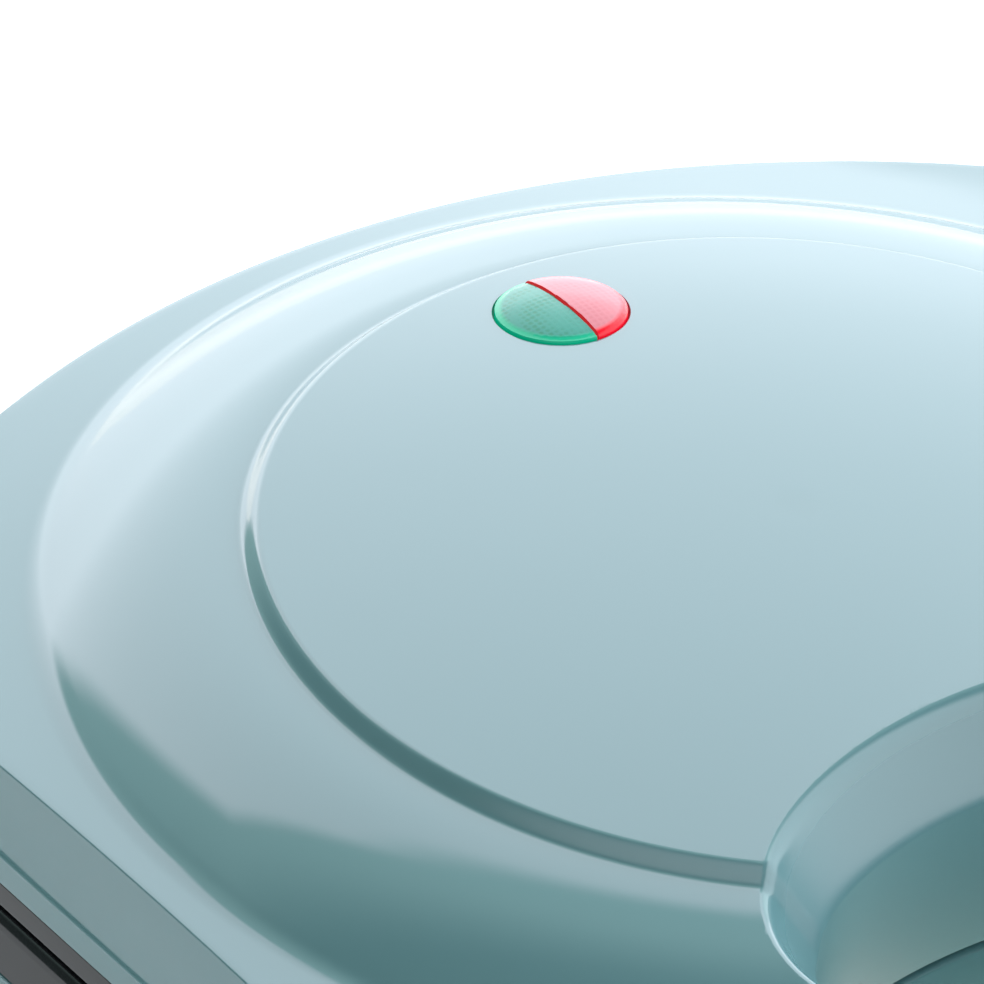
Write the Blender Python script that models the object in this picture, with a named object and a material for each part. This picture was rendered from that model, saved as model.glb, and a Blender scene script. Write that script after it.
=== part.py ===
"""A two-slice sandwich maker with a round-domed lid, a finger hole that forms the handle, and its inner works.

Frame: +Z up, the table at zero, +Y to the hinge at the back, the handle towards -Y, X across. Units are metres.
"""

import math

import bmesh
import bpy
from mathutils import Matrix, Vector

# Heights and gaps
PARTING_HEIGHT = 0.0500  # where lid and base meet, above the table
PARTING_GAP = 0.0016
CLEARANCE = 0.0003
BORE_CLEARANCE = 0.0001  # between a pin and the bore it runs in
OVERRUN = 0.0030  # how far a cutter or a root runs past what it cuts or joins

# Lid top, heights above the parting plane
DISC_RADIUS = 0.0730
DISC_HEIGHT = 0.0345
DISC_CROWN = 0.0053
STEP_DROP = 0.0022
STEP_WIDTH = 0.0030
CREASE_RADIUS = 0.1035
CREASE_HEIGHT = 0.0211
RIM_SLOPE = math.radians(6.0)
RIM_EDGE_ROUND = 0.0005
CROWN_SHARES = (0.35, 0.65, 0.88)
STEP_SHARES = (0.0, 0.25, 0.5, 0.75, 1.0)
DOME_SHARES = (0.3, 0.58, 0.8, 1.0)
DOME_START_SHARE = 0.25  # slope at the dome's inner edge, as a share of its mean slope

# Outline of the lid's rim edge, as a chain of arcs and straight runs from the back centre
OUTLINE_BACK = 0.1103
BACK_ARC_RADIUS = 0.1700
BACK_ARC_TURN = math.radians(34.8)
BACK_CORNER_RADIUS = 0.0380
BACK_CORNER_TURN = math.radians(60.1)
SIDE_LENGTH = 0.1058
FRONT_CORNER_RADIUS = 0.0340
FRONT_CORNER_TURN = math.radians(42.0)
FRONT_FLAT = 0.0060
BACK_STEPS = 8
CORNER_STEPS = 5
SIDE_STEPS = 7
FRONT_STEPS = 8

# Lid side, from the rim edge down
LID_WALL = 0.0025
WALL_FLARE = 0.0030
WALL_HOLLOW = 0.0003
LIP_PROUD = 0.0008
LIP_HEIGHT = 0.0044

# Black inner frames
LID_BAND = 0.0041
BASE_BAND = 0.0092
FRAME_INSET = 0.0003
FRAME_ROUND = 0.0020
FRAME_SHEET = 0.0025
ROUND_SHARE = 0.29  # where the middle of a quarter round lies
SPIGOT_DEPTH = 0.0034
WELL_WALL = 0.0022
WELL_DEPTH = 0.0110

# Base shell, insets from the rim outline
BASE_WALL = 0.0025
FLOOR_HEIGHT = 0.0050
BASE_WAIST_INSET = 0.0040
BASE_WAIST_HEIGHT = 0.0150
SHOULDER_INSET = 0.0004
FLOOR_INSET = 0.0150
FLOOR_ROUND = 0.0035
FLOOR_SHARES = ((0.5, 0.5), (0.8, 2.0))  # inset towards the waist, and rise in floor rounds

# Finger hole, an upright ellipse with a sloping mouth
HOLE_CENTRE_Y = -0.0704
MOUTH_HALF_WIDTH = 0.0490
MOUTH_HALF_DEPTH = 0.0259
MOUTH_INSET = 0.0078
MOUTH_DEPTH = 0.0117
HOLE_STEPS = 40
BOSS_COVER_SHARE = 0.3  # how deep in the lid's skin the wall round the hole ends

# Indicator lens and its lamps
LENS_RADIUS = 0.0095
LENS_CENTRE_Y = 0.0584
LENS_PROUD = 0.0003
LENS_GAP = 0.0003
LENS_FLANGE = 0.0018
LENS_FLANGE_SHEET = 0.0012
LENS_SPLIT_GAP = 0.0003
LAMP_RADIUS = 0.0028
LAMP_LENGTH = 0.0090
LAMP_OFFSET = 0.0047
HOLDER_WALL = 0.0015
HOLDER_HEIGHT = 0.0120
LENS_STEPS = 32
LAMP_STEPS = 16

# Cooking plates
PLATE_WIDTH = 0.1960
PLATE_DEPTH = 0.1220
PLATE_CENTRE_Y = 0.0170
PLATE_CORNER = 0.0220
PLATE_SHEET = 0.0030
PLATE_HALF_GAP = 0.0004
LEDGE = 0.0030
POCKET_DEPTH = 0.0090
POCKET_WALL = 0.0022
POCKET_MARGIN = 0.0070
POCKET_DRAFT = 0.0032
RIDGE_WIDTH = 0.0060
POCKET_CORNER = 0.0130
POCKET_TIP = 0.0060
SEAT_RADIUS = 0.0095
CORNER_POINTS = 5
SLOT_POINTS = 3

# Heating elements, reflectors and what hangs on them
ELEMENT_RADIUS = 0.0032
ELEMENT_WIDTH = 0.1400
ELEMENT_DEPTH = 0.0680
ELEMENT_CORNER = 0.0200
ELEMENT_MOUTH = 0.0300
REFLECTOR_WIDTH = 0.1600
REFLECTOR_DEPTH = 0.0900
REFLECTOR_CORNER = 0.0300
REFLECTOR_SHEET = 0.0008
REFLECTOR_LIP = 0.0040
REFLECTOR_HOLE = 0.0115
NOTCH_WIDTH = 0.0440
NOTCH_START = 0.0020  # from the element's back run to the notch for its leads
NOTCH_CORNER = 0.0030
THERMOSTAT_RADIUS = 0.0085
THERMOSTAT_HEIGHT = 0.0100
THERMOSTAT_CAP_SHARE = 0.7
FUSE_RADIUS = 0.0026
FUSE_LENGTH = 0.0160
LEAD_RADIUS = 0.0012

# Hinge
KNUCKLE_RADIUS = 0.0046
KNUCKLE_GAP = 0.0009  # between the lip and the knuckles
KNUCKLE_TURN = math.radians(48.0)  # where an ear's far side leaves its knuckle
HINGE_PIN_RADIUS = 0.0020
HINGE_CENTRE_X = 0.0215
LID_EAR_WIDTH = 0.0080
BASE_EAR_WIDTH = 0.0034
LID_EAR_REACH = 0.0115  # how far from the parting plane an ear's root reaches
BASE_EAR_REACH = 0.0200
KNUCKLE_STEPS = 12

# Latch clip
LATCH_STANDOFF = 0.0046
LATCH_HEIGHT = 0.0093
LATCH_WIDTH = 0.0220
LATCH_BARREL = 0.0036
LATCH_SHEET = 0.0030
LATCH_REACH = 0.0265
LATCH_HOOK = 0.0018
LATCH_HOOK_SHEET = 0.0030
LATCH_PIN_RADIUS = 0.0015
LUG_WIDTH = 0.0040
LUG_RADIUS = 0.0040
CATCH_HEIGHT = 0.0056
CATCH_SIDE = 0.0010

# Feet, vents, cord inlet and terminals
FOOT_RADIUS = 0.0080
FOOT_TAPER = 0.0012
FOOT_STEM = 0.0026
FOOT_STEM_RISE = 0.0015
FOOT_X = 0.0700
FOOT_BACK_Y = 0.0720
FOOT_FRONT_Y = -0.0600
VENT_WIDTH = 0.0030
VENT_LENGTH = 0.0260
VENT_PITCH = 0.0090
VENT_COUNT = 7
VENT_END_SHARE = 0.45
INLET_HEIGHT = 0.0230
INLET_BORE = 0.0036
INLET_TUBE = 0.0055
INLET_FLANGE = 0.0080
INLET_FLANGE_SHEET = 0.0022
INLET_PAD = 0.0095
INLET_PAD_PROUD = 0.0005
INLET_PAD_DEPTH = 0.0110
INLET_TAIL = 0.0030
BLOCK_WIDTH = 0.0260
BLOCK_DEPTH = 0.0160
BLOCK_HEIGHT = 0.0100
BLOCK_CORNER = 0.0020
BLOCK_BACK_GAP = 0.0140
BLOCK_WELL = 0.0022
BLOCK_WELL_DEPTH = 0.0040
WELL_PITCH_SHARE = 0.31
ROUND_STEPS = 24
BAR_STEPS = 12
LEAD_STEPS = 8
LEAD_RUN_STEPS = 10

PASTEL = (0.42, 0.57, 0.62, 1.0)
BLACK = (0.012, 0.012, 0.014, 1.0)
COATING = (0.03, 0.03, 0.032, 1.0)
STEEL = (0.62, 0.62, 0.64, 1.0)
ALUMINIUM = (0.75, 0.76, 0.78, 1.0)
GREEN = (0.02, 0.62, 0.42, 1.0)
RED = (0.80, 0.01, 0.03, 1.0)
RUBBER = (0.02, 0.02, 0.02, 1.0)
CERAMIC = (0.80, 0.78, 0.72, 1.0)
LAMP_GLASS = (0.85, 0.80, 0.72, 1.0)
RED_SLEEVE = (0.45, 0.03, 0.03, 1.0)
BLUE_SLEEVE = (0.04, 0.10, 0.40, 1.0)


# Shapes shared by several pieces

def material(name, colour, roughness, metallic=0.0):
    """A Principled finish."""
    made = bpy.data.materials.new(name)
    made.use_nodes = True
    shader = made.node_tree.nodes["Principled BSDF"]
    shader.inputs["Base Color"].default_value = colour
    shader.inputs["Roughness"].default_value = roughness
    shader.inputs["Metallic"].default_value = metallic
    return made


def named_object(name, mesh, finish=None):
    """An object that holds the mesh, with smooth round faces and its finish."""
    mesh.shade_smooth()
    mesh.set_sharp_from_angle(angle=math.radians(30))
    if finish:
        mesh.materials.append(finish)
    made = bpy.data.objects.new(name, mesh)
    bpy.context.scene.collection.objects.link(made)
    return made


def loft(name, rings, finish=None, closed=False):
    """A closed skin over rings of equal count, where a ring of one point is a pole."""
    work = bmesh.new()
    rows = [[work.verts.new(point) for point in ring] for ring in rings]
    pairs = list(zip(rows, rows[1:]))
    if closed:
        pairs.append((rows[-1], rows[0]))
    for first, second in pairs:
        count = max(len(first), len(second))
        for i in range(count):
            j = (i + 1) % count
            corners = [first[i % len(first)], first[j % len(first)]]
            corners += [second[j % len(second)], second[i % len(second)]]
            work.faces.new(list(dict.fromkeys(corners)))
    if not closed:
        for row in (rows[0], rows[-1]):
            if len(row) > 1:
                work.faces.new(row)
    bmesh.ops.recalc_face_normals(work, faces=work.faces)
    mesh = bpy.data.meshes.new(name)
    work.to_mesh(mesh)
    work.free()
    return named_object(name, mesh, finish)


def combine(target, other, operation):
    """Joins or cuts the target with the other solid, and removes that solid."""
    boolean = target.modifiers.new(operation.lower(), "BOOLEAN")
    boolean.operation = operation
    boolean.solver = "EXACT"
    boolean.object = other
    graph = bpy.context.evaluated_depsgraph_get()
    graph.update()
    mesh = bpy.data.meshes.new_from_object(target.evaluated_get(graph))
    target.modifiers.clear()
    old = target.data
    target.data = mesh
    mesh.name = old.name
    bpy.data.meshes.remove(old)
    bpy.data.objects.remove(other)


def join(target, other):
    combine(target, other, "UNION")


def cut(target, other):
    combine(target, other, "DIFFERENCE")


def prism(name, outline, low, high, finish=None):
    """An upright prism over an outline of (x, y) points."""
    rings = [[Vector((x, y, z)) for x, y in outline] for z in (low, high)]
    return loft(name, rings, finish)


def side_prism(name, outline, left, right, finish=None):
    """A prism across the object, over a side view of (y, z) points."""
    rings = [[Vector((x, y, z)) for y, z in outline] for x in (left, right)]
    return loft(name, rings, finish)


def turned(name, profile, place, finish=None, closed=False, steps=ROUND_STEPS):
    """A turned piece from (radius, height) points, moved to its place by a matrix."""
    rings = []
    for radius, height in profile:
        if radius == 0:
            rings.append([place @ Vector((0, 0, height))])
            continue
        angles = [math.tau * i / steps for i in range(steps)]
        rings.append([place @ Vector((radius * math.cos(a), radius * math.sin(a), height)) for a in angles])
    return loft(name, rings, finish, closed)


def plug(name, radius, low, high, place, finish=None, steps=ROUND_STEPS):
    """A plain round pin or cutter."""
    return turned(name, [(radius, low), (radius, high)], place, finish, steps=steps)


def rounded_polygon(corners, inset, radii, steps=CORNER_POINTS):
    """A convex outline with each side moved in by the inset and each corner rounded by its own radius."""
    count = len(corners)
    lines = []
    for i in range(count):
        start = Vector(corners[i])
        along = (Vector(corners[(i + 1) % count]) - start).normalized()
        inward = Vector((-along.y, along.x))
        lines.append((start + inward * inset, along))
    points = []
    for i in range(count):
        (before, d0), (after, d1) = lines[i - 1], lines[i]
        reach = (after - before).cross(d1) / d0.cross(d1)
        corner = before + d0 * reach
        turn = d0.angle(d1)
        tangent = radii[i] * math.tan(turn / 2)
        centre = corner - d0 * tangent + Vector((-d0.y, d0.x)) * radii[i]
        start_angle = math.atan2(d0.y, d0.x) - math.pi / 2
        for k in range(steps):
            angle = start_angle + turn * k / (steps - 1)
            points.append((centre.x + radii[i] * math.cos(angle), centre.y + radii[i] * math.sin(angle)))
    return points


def rounded_rectangle(width, depth, radius, centre_y, steps=CORNER_POINTS):
    """A rounded rectangle about the centre plane."""
    x, y = width / 2, depth / 2
    corners = [(-x, centre_y - y), (x, centre_y - y), (x, centre_y + y), (-x, centre_y + y)]
    return rounded_polygon(corners, 0, [radius] * len(corners), steps)


def mix(low, high, share):
    return low + (high - low) * share


def axis_x(y, z):
    """A turned piece's place with its axis across the object."""
    return Matrix.Translation((0, y, z)) @ Matrix.Rotation(math.pi / 2, 4, "Y")


# Outline of the lid and the base, seen from above

def outline_samples():
    """Points of the rim edge with their outward normals, clockwise from the back centre."""
    last_turn = math.pi - BACK_ARC_TURN - BACK_CORNER_TURN - FRONT_CORNER_TURN
    runs = [
        (BACK_ARC_RADIUS, BACK_ARC_TURN, 0, BACK_STEPS),
        (BACK_CORNER_RADIUS, BACK_CORNER_TURN, 0, CORNER_STEPS),
        (0, 0, SIDE_LENGTH, SIDE_STEPS),
        (FRONT_CORNER_RADIUS, FRONT_CORNER_TURN, 0, CORNER_STEPS),
        (0, 0, FRONT_FLAT, 1),
        (None, last_turn, 0, FRONT_STEPS),
    ]
    place, heading = Vector((0, OUTLINE_BACK)), 0.0
    half = [(place.copy(), Vector((0, 1)))]
    for radius, turn, length, steps in runs:
        if radius is None:
            radius = place.x / math.sin(turn)
        for _ in range(steps):
            step_turn = turn / steps
            chord = length / steps + 2 * radius * math.sin(step_turn / 2)
            middle = heading + step_turn / 2
            place = place + chord * Vector((math.cos(middle), -math.sin(middle)))
            heading += step_turn
            half.append((place.copy(), Vector((math.sin(heading), math.cos(heading)))))
    half[-1] = (Vector((0, place.y)), Vector((0, -1)))
    other = [(Vector((-p.x, p.y)), Vector((-n.x, n.y))) for p, n in reversed(half[1:-1])]
    return half + other


OUTLINE = outline_samples()
FRONT_Y = min(point.y for point, _ in OUTLINE)


def rim_height(point):
    """Height of the rim edge above the parting plane."""
    return CREASE_HEIGHT - math.tan(RIM_SLOPE) * (point.length - CREASE_RADIUS)


def outline_ring(offset, height):
    """The outline moved outwards, at a height above the table or at one that a function gives."""
    ring = []
    for point, normal in OUTLINE:
        z = height(point) if callable(height) else height
        moved = point + normal * offset
        ring.append(Vector((moved.x, moved.y, z)))
    return ring


def round_ring(radius, height):
    """A circle with its points at the outline's own angles."""
    ring = []
    for point, _ in OUTLINE:
        around = point.normalized() * radius
        ring.append(Vector((around.x, around.y, height)))
    return ring


# Lid surface

def lid_surface(radius):
    """Height above the table of the lid's round top."""
    if radius <= DISC_RADIUS:
        height = DISC_HEIGHT + DISC_CROWN * (1 - (radius / DISC_RADIUS) ** 2)
    elif radius <= DISC_RADIUS + STEP_WIDTH:
        t = (radius - DISC_RADIUS) / STEP_WIDTH
        height = DISC_HEIGHT - STEP_DROP * t * t * (3 - 2 * t)
    else:
        start = DISC_RADIUS + STEP_WIDTH
        t = (radius - start) / (CREASE_RADIUS - start)
        fall = DISC_HEIGHT - STEP_DROP - CREASE_HEIGHT
        height = DISC_HEIGHT - STEP_DROP - fall * (DOME_START_SHARE * t + (1 - DOME_START_SHARE) * t * t)
    return PARTING_HEIGHT + height


def lid_radii():
    """Radii of the rings of the round top, from the middle to the crease."""
    start = DISC_RADIUS + STEP_WIDTH
    radii = [DISC_RADIUS * share for share in CROWN_SHARES]
    radii += [mix(DISC_RADIUS, start, share) for share in STEP_SHARES]
    return radii + [mix(start, CREASE_RADIUS, share) for share in DOME_SHARES]


LIP_OFFSET = WALL_FLARE + LIP_PROUD
LIP_BOTTOM = PARTING_HEIGHT + PARTING_GAP / 2 + LID_BAND + CLEARANCE
LIP_TOP = LIP_BOTTOM + LIP_HEIGHT


def lid_skin():
    """The lid as a moulded shell, open below."""
    def edge(point):
        return PARTING_HEIGHT + rim_height(point)

    def wall_middle(point):
        return (edge(point) + LIP_TOP) / 2

    rings = [[Vector((0, 0, lid_surface(0)))]]
    rings += [round_ring(radius, lid_surface(radius)) for radius in lid_radii()]
    rings.append(outline_ring(-RIM_EDGE_ROUND, edge))
    rings.append(outline_ring(0, lambda point: edge(point) - RIM_EDGE_ROUND))
    rings.append(outline_ring(WALL_FLARE / 2 - WALL_HOLLOW, wall_middle))
    rings.append(outline_ring(WALL_FLARE, LIP_TOP + LIP_PROUD / 2))
    rings.append(outline_ring(LIP_OFFSET, LIP_TOP))
    rings.append(outline_ring(LIP_OFFSET, LIP_BOTTOM))
    rings.append(outline_ring(LIP_OFFSET - LID_WALL, LIP_BOTTOM))
    rings.append(outline_ring(LIP_OFFSET - LID_WALL, LIP_TOP - LIP_PROUD))
    rings.append(outline_ring(-LID_WALL, lambda point: edge(point) - LID_WALL))
    inner = [CREASE_RADIUS - LID_WALL / 2, mix(DISC_RADIUS, CREASE_RADIUS, DOME_SHARES[1])]
    inner += [DISC_RADIUS - STEP_WIDTH / 2, DISC_RADIUS * CROWN_SHARES[1]]
    rings += [round_ring(radius, lid_surface(radius) - LID_WALL) for radius in inner]
    rings.append([Vector((0, 0, lid_surface(0) - LID_WALL))])
    return rings


def hole_ring(grow, height, half_width=MOUTH_HALF_WIDTH, half_depth=MOUTH_HALF_DEPTH):
    """An ellipse round the finger hole, grown outwards, at a height or at one that a function gives."""
    ring = []
    for i in range(HOLE_STEPS):
        angle = math.tau * i / HOLE_STEPS
        x = (half_width + grow) * math.cos(angle)
        y = HOLE_CENTRE_Y + (half_depth + grow) * math.sin(angle)
        ring.append(Vector((x, y, height(x, y) if callable(height) else height)))
    return ring


def mouth_height(x, y):
    """Height of the lid's top at the rim of the finger hole."""
    return lid_surface(min(math.hypot(x, y), CREASE_RADIUS))


def throat_ring(grow, lift=0.0):
    """The lower edge of the sloping mouth, which follows the lid's top."""
    upper = hole_ring(0, mouth_height)
    lower = hole_ring(grow - MOUTH_INSET, 0)
    return [Vector((low.x, low.y, up.z - MOUTH_DEPTH + lift)) for low, up in zip(lower, upper)]


def finger_hole_cutter(low):
    """The space of the finger hole, from a height up through the lid."""
    grow = OVERRUN * MOUTH_INSET / MOUTH_DEPTH
    bottom = hole_ring(-MOUTH_INSET, low)
    above = hole_ring(grow, lambda x, y: mouth_height(x, y) + OVERRUN)
    top = hole_ring(grow, lid_surface(0) + 2 * OVERRUN)
    return loft("hole_cutter", [bottom, throat_ring(0), above, top])


def lid_hole_boss():
    """The wall round the finger hole, before the hole is cut."""
    def under_top(x, y):
        return mouth_height(x, y) - LID_WALL * BOSS_COVER_SHARE

    low = PARTING_HEIGHT + PARTING_GAP / 2
    inner = -MOUTH_INSET - LID_WALL
    rings = [hole_ring(LID_WALL - MOUTH_INSET, low), throat_ring(LID_WALL)]
    rings += [hole_ring(LID_WALL, under_top), hole_ring(inner, under_top), hole_ring(inner, low + LID_WALL)]
    return loft("hole_boss", rings)


def lens_place():
    """The lens's own frame: origin on the lid's surface, +Z square to it."""
    slope = math.atan(2 * DISC_CROWN * LENS_CENTRE_Y / DISC_RADIUS**2)
    spot = Matrix.Translation((0, LENS_CENTRE_Y, lid_surface(LENS_CENTRE_Y)))
    return spot @ Matrix.Rotation(-slope, 4, "X")


HINGE_Y = OUTLINE_BACK + LIP_OFFSET + KNUCKLE_GAP + KNUCKLE_RADIUS


def back_edge_y(x):
    """Where the rim's back edge is, at a distance from the middle."""
    return OUTLINE_BACK - BACK_ARC_RADIUS + math.sqrt(BACK_ARC_RADIUS**2 - x**2)


def ear_outline(side, near, far):
    """Side view of a hinge ear: a knuckle on the hinge axis, and two root points (offset, height) in the wall."""
    outline = []
    for k in range(KNUCKLE_STEPS + 1):
        angle = mix(math.pi, -KNUCKLE_TURN, k / KNUCKLE_STEPS)
        z = PARTING_HEIGHT - side * KNUCKLE_RADIUS * math.sin(angle)
        outline.append((HINGE_Y + KNUCKLE_RADIUS * math.cos(angle), z))
    outline.append((far[0], PARTING_HEIGHT + side * far[1]))
    outline.append((near[0], PARTING_HEIGHT + side * near[1]))
    outline.append((HINGE_Y - KNUCKLE_RADIUS, PARTING_HEIGHT + side * near[1]))
    return outline


def join_ears(shell, side, spans, near, far):
    """Adds the hinge ears over the given spans of X, bored for the hinge pins."""
    for left, right in spans:
        edge = back_edge_y((left + right) / 2)
        outline = ear_outline(side, (edge + near[0], near[1]), (edge + far[0], far[1]))
        join(shell, side_prism("ear", outline, left, right))
        bore = HINGE_PIN_RADIUS + BORE_CLEARANCE
        cut(shell, plug("bore", bore, left - OVERRUN, right + OVERRUN, axis_x(HINGE_Y, PARTING_HEIGHT)))


def lid_ear_spans():
    half = LID_EAR_WIDTH / 2
    return [(side * HINGE_CENTRE_X - half, side * HINGE_CENTRE_X + half) for side in (-1, 1)]


def base_ear_spans():
    inner = LID_EAR_WIDTH / 2 + CLEARANCE
    spans = []
    for side in (-1, 1):
        centre = side * HINGE_CENTRE_X
        spans.append((centre - inner - BASE_EAR_WIDTH, centre - inner))
        spans.append((centre + inner, centre + inner + BASE_EAR_WIDTH))
    return spans


LATCH_Y = FRONT_Y - LIP_OFFSET - LATCH_STANDOFF
LATCH_Z = PARTING_HEIGHT + LATCH_HEIGHT


def join_lugs(shell):
    """Adds the two lugs that carry the latch pin."""
    inner = LATCH_WIDTH / 2 + CLEARANCE
    outline = [(FRONT_Y - WALL_FLARE / 2, LATCH_Z - LUG_RADIUS), (FRONT_Y - WALL_FLARE / 2, LATCH_Z + LUG_RADIUS)]
    for k in range(KNUCKLE_STEPS + 1):
        angle = math.pi * (0.5 + k / KNUCKLE_STEPS)
        outline.append((LATCH_Y + LUG_RADIUS * math.cos(angle), LATCH_Z + LUG_RADIUS * math.sin(angle)))
    for left in (-inner - LUG_WIDTH, inner):
        join(shell, side_prism("lug", outline, left, left + LUG_WIDTH))
        bore = LATCH_PIN_RADIUS + BORE_CLEARANCE
        cut(shell, plug("bore", bore, left - OVERRUN, left + LUG_WIDTH + OVERRUN, axis_x(LATCH_Y, LATCH_Z)))


def make_lid_shell(finish):
    """The lid with its finger hole, hinge ears, latch lugs and the hole for the lens."""
    shell = loft("lid_shell", lid_skin(), finish)
    join(shell, lid_hole_boss())
    cut(shell, finger_hole_cutter(PARTING_HEIGHT - OVERRUN))
    cut(shell, plug("lens_hole", LENS_RADIUS + LENS_GAP, -LID_WALL - OVERRUN, OVERRUN, lens_place(), steps=LENS_STEPS))
    near = (LIP_OFFSET - LID_WALL / 2, LIP_BOTTOM + CLEARANCE - PARTING_HEIGHT)
    join_ears(shell, 1, lid_ear_spans(), near, (WALL_FLARE - LID_WALL / 2, LID_EAR_REACH))
    join_lugs(shell)
    return shell


# Base shell

BASE_RIM = PARTING_HEIGHT - PARTING_GAP / 2 - BASE_BAND - CLEARANCE
BASE_WAIST = FLOOR_HEIGHT + BASE_WAIST_HEIGHT
BASE_SHOULDER = BASE_RIM - SPIGOT_DEPTH - FRAME_ROUND


def base_skin():
    """The base as a moulded tray, open above."""
    rings = [outline_ring(-FLOOR_INSET, FLOOR_HEIGHT)]
    for inset_share, rise_share in FLOOR_SHARES:
        inset = mix(FLOOR_INSET, BASE_WAIST_INSET, inset_share)
        rings.append(outline_ring(-inset, FLOOR_HEIGHT + FLOOR_ROUND * rise_share))
    rings.append(outline_ring(-BASE_WAIST_INSET, BASE_WAIST))
    rings.append(outline_ring(LIP_OFFSET - SHOULDER_INSET, BASE_SHOULDER))
    rings.append(outline_ring(LIP_OFFSET, BASE_RIM - RIM_EDGE_ROUND))
    rings.append(outline_ring(LIP_OFFSET - RIM_EDGE_ROUND, BASE_RIM))
    rings.append(outline_ring(LIP_OFFSET - BASE_WALL, BASE_RIM))
    rings.append(outline_ring(LIP_OFFSET - BASE_WALL, BASE_SHOULDER))
    rings.append(outline_ring(-BASE_WAIST_INSET - BASE_WALL, BASE_WAIST))
    rings.append(outline_ring(-FLOOR_INSET, FLOOR_HEIGHT + BASE_WALL))
    return rings


def foot_places():
    return {
        "foot_front_left": (-FOOT_X, FOOT_FRONT_Y),
        "foot_front_right": (FOOT_X, FOOT_FRONT_Y),
        "foot_back_left": (-FOOT_X, FOOT_BACK_Y),
        "foot_back_right": (FOOT_X, FOOT_BACK_Y),
    }


def rear_wall_y(height):
    """Where the outside of the base's rear wall is, at a height above its waist."""
    share = (height - BASE_WAIST) / (BASE_SHOULDER - BASE_WAIST)
    return OUTLINE_BACK + mix(-BASE_WAIST_INSET, LIP_OFFSET - SHOULDER_INSET, share)


INLET_FACE_Y = rear_wall_y(INLET_HEIGHT + INLET_PAD) + INLET_PAD_PROUD


def inlet_place():
    """The cord inlet's frame: origin on the pad's flat face, +Z out of the back."""
    return Matrix.Translation((0, INLET_FACE_Y, INLET_HEIGHT)) @ Matrix.Rotation(-math.pi / 2, 4, "X")


def vent_cutters():
    """Rounded slots across the floor, under the plates."""
    for i in range(VENT_COUNT):
        y = PLATE_CENTRE_Y + (i - (VENT_COUNT - 1) / 2) * VENT_PITCH
        outline = rounded_rectangle(VENT_LENGTH, VENT_WIDTH, VENT_WIDTH * VENT_END_SHARE, y, SLOT_POINTS)
        yield prism("vent", outline, FLOOR_HEIGHT - OVERRUN, FLOOR_HEIGHT + BASE_WALL + OVERRUN)


def make_base_shell(finish):
    """The base with its finger hole, hinge ears, cord inlet, vents, foot sockets and latch slot."""
    shell = loft("base_shell", base_skin(), finish)
    grow = BASE_WALL - MOUTH_INSET
    ends = (FLOOR_HEIGHT + BASE_WALL / 2, PARTING_HEIGHT - PARTING_GAP / 2)
    join(shell, loft("hole_boss", [hole_ring(grow, z) for z in ends]))
    cut(shell, finger_hole_cutter(FLOOR_HEIGHT - OVERRUN))
    join(shell, plug("inlet_pad", INLET_PAD, -INLET_PAD_DEPTH, 0, inlet_place()))
    cut(shell, plug("inlet_bore", INLET_TUBE + CLEARANCE, -2 * INLET_PAD, OVERRUN, inlet_place()))
    near = (LIP_OFFSET - BASE_WALL / 2, PARTING_HEIGHT - BASE_RIM + CLEARANCE)
    far = (rear_wall_y(PARTING_HEIGHT - BASE_EAR_REACH) - OUTLINE_BACK - BASE_WALL / 2, BASE_EAR_REACH)
    join_ears(shell, -1, base_ear_spans(), near, far)
    for cutter in vent_cutters():
        cut(shell, cutter)
    for x, y in foot_places().values():
        place = Matrix.Translation((x, y, FLOOR_HEIGHT))
        cut(shell, plug("foot_socket", FOOT_STEM + CLEARANCE, -OVERRUN, BASE_WALL + OVERRUN, place, steps=LAMP_STEPS))
    half = LATCH_WIDTH / 2 + CATCH_SIDE
    top = LATCH_Z - LATCH_REACH + LATCH_HOOK_SHEET + CATCH_SIDE
    slot = [(FRONT_Y - LIP_OFFSET - OVERRUN, top - CATCH_HEIGHT), (FRONT_Y - LIP_OFFSET - OVERRUN, top)]
    slot += [(FRONT_Y + BASE_WALL, top), (FRONT_Y + BASE_WALL, top - CATCH_HEIGHT)]
    cut(shell, side_prism("latch_slot", slot, -half, half))
    return shell


# Black inner frames

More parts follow.
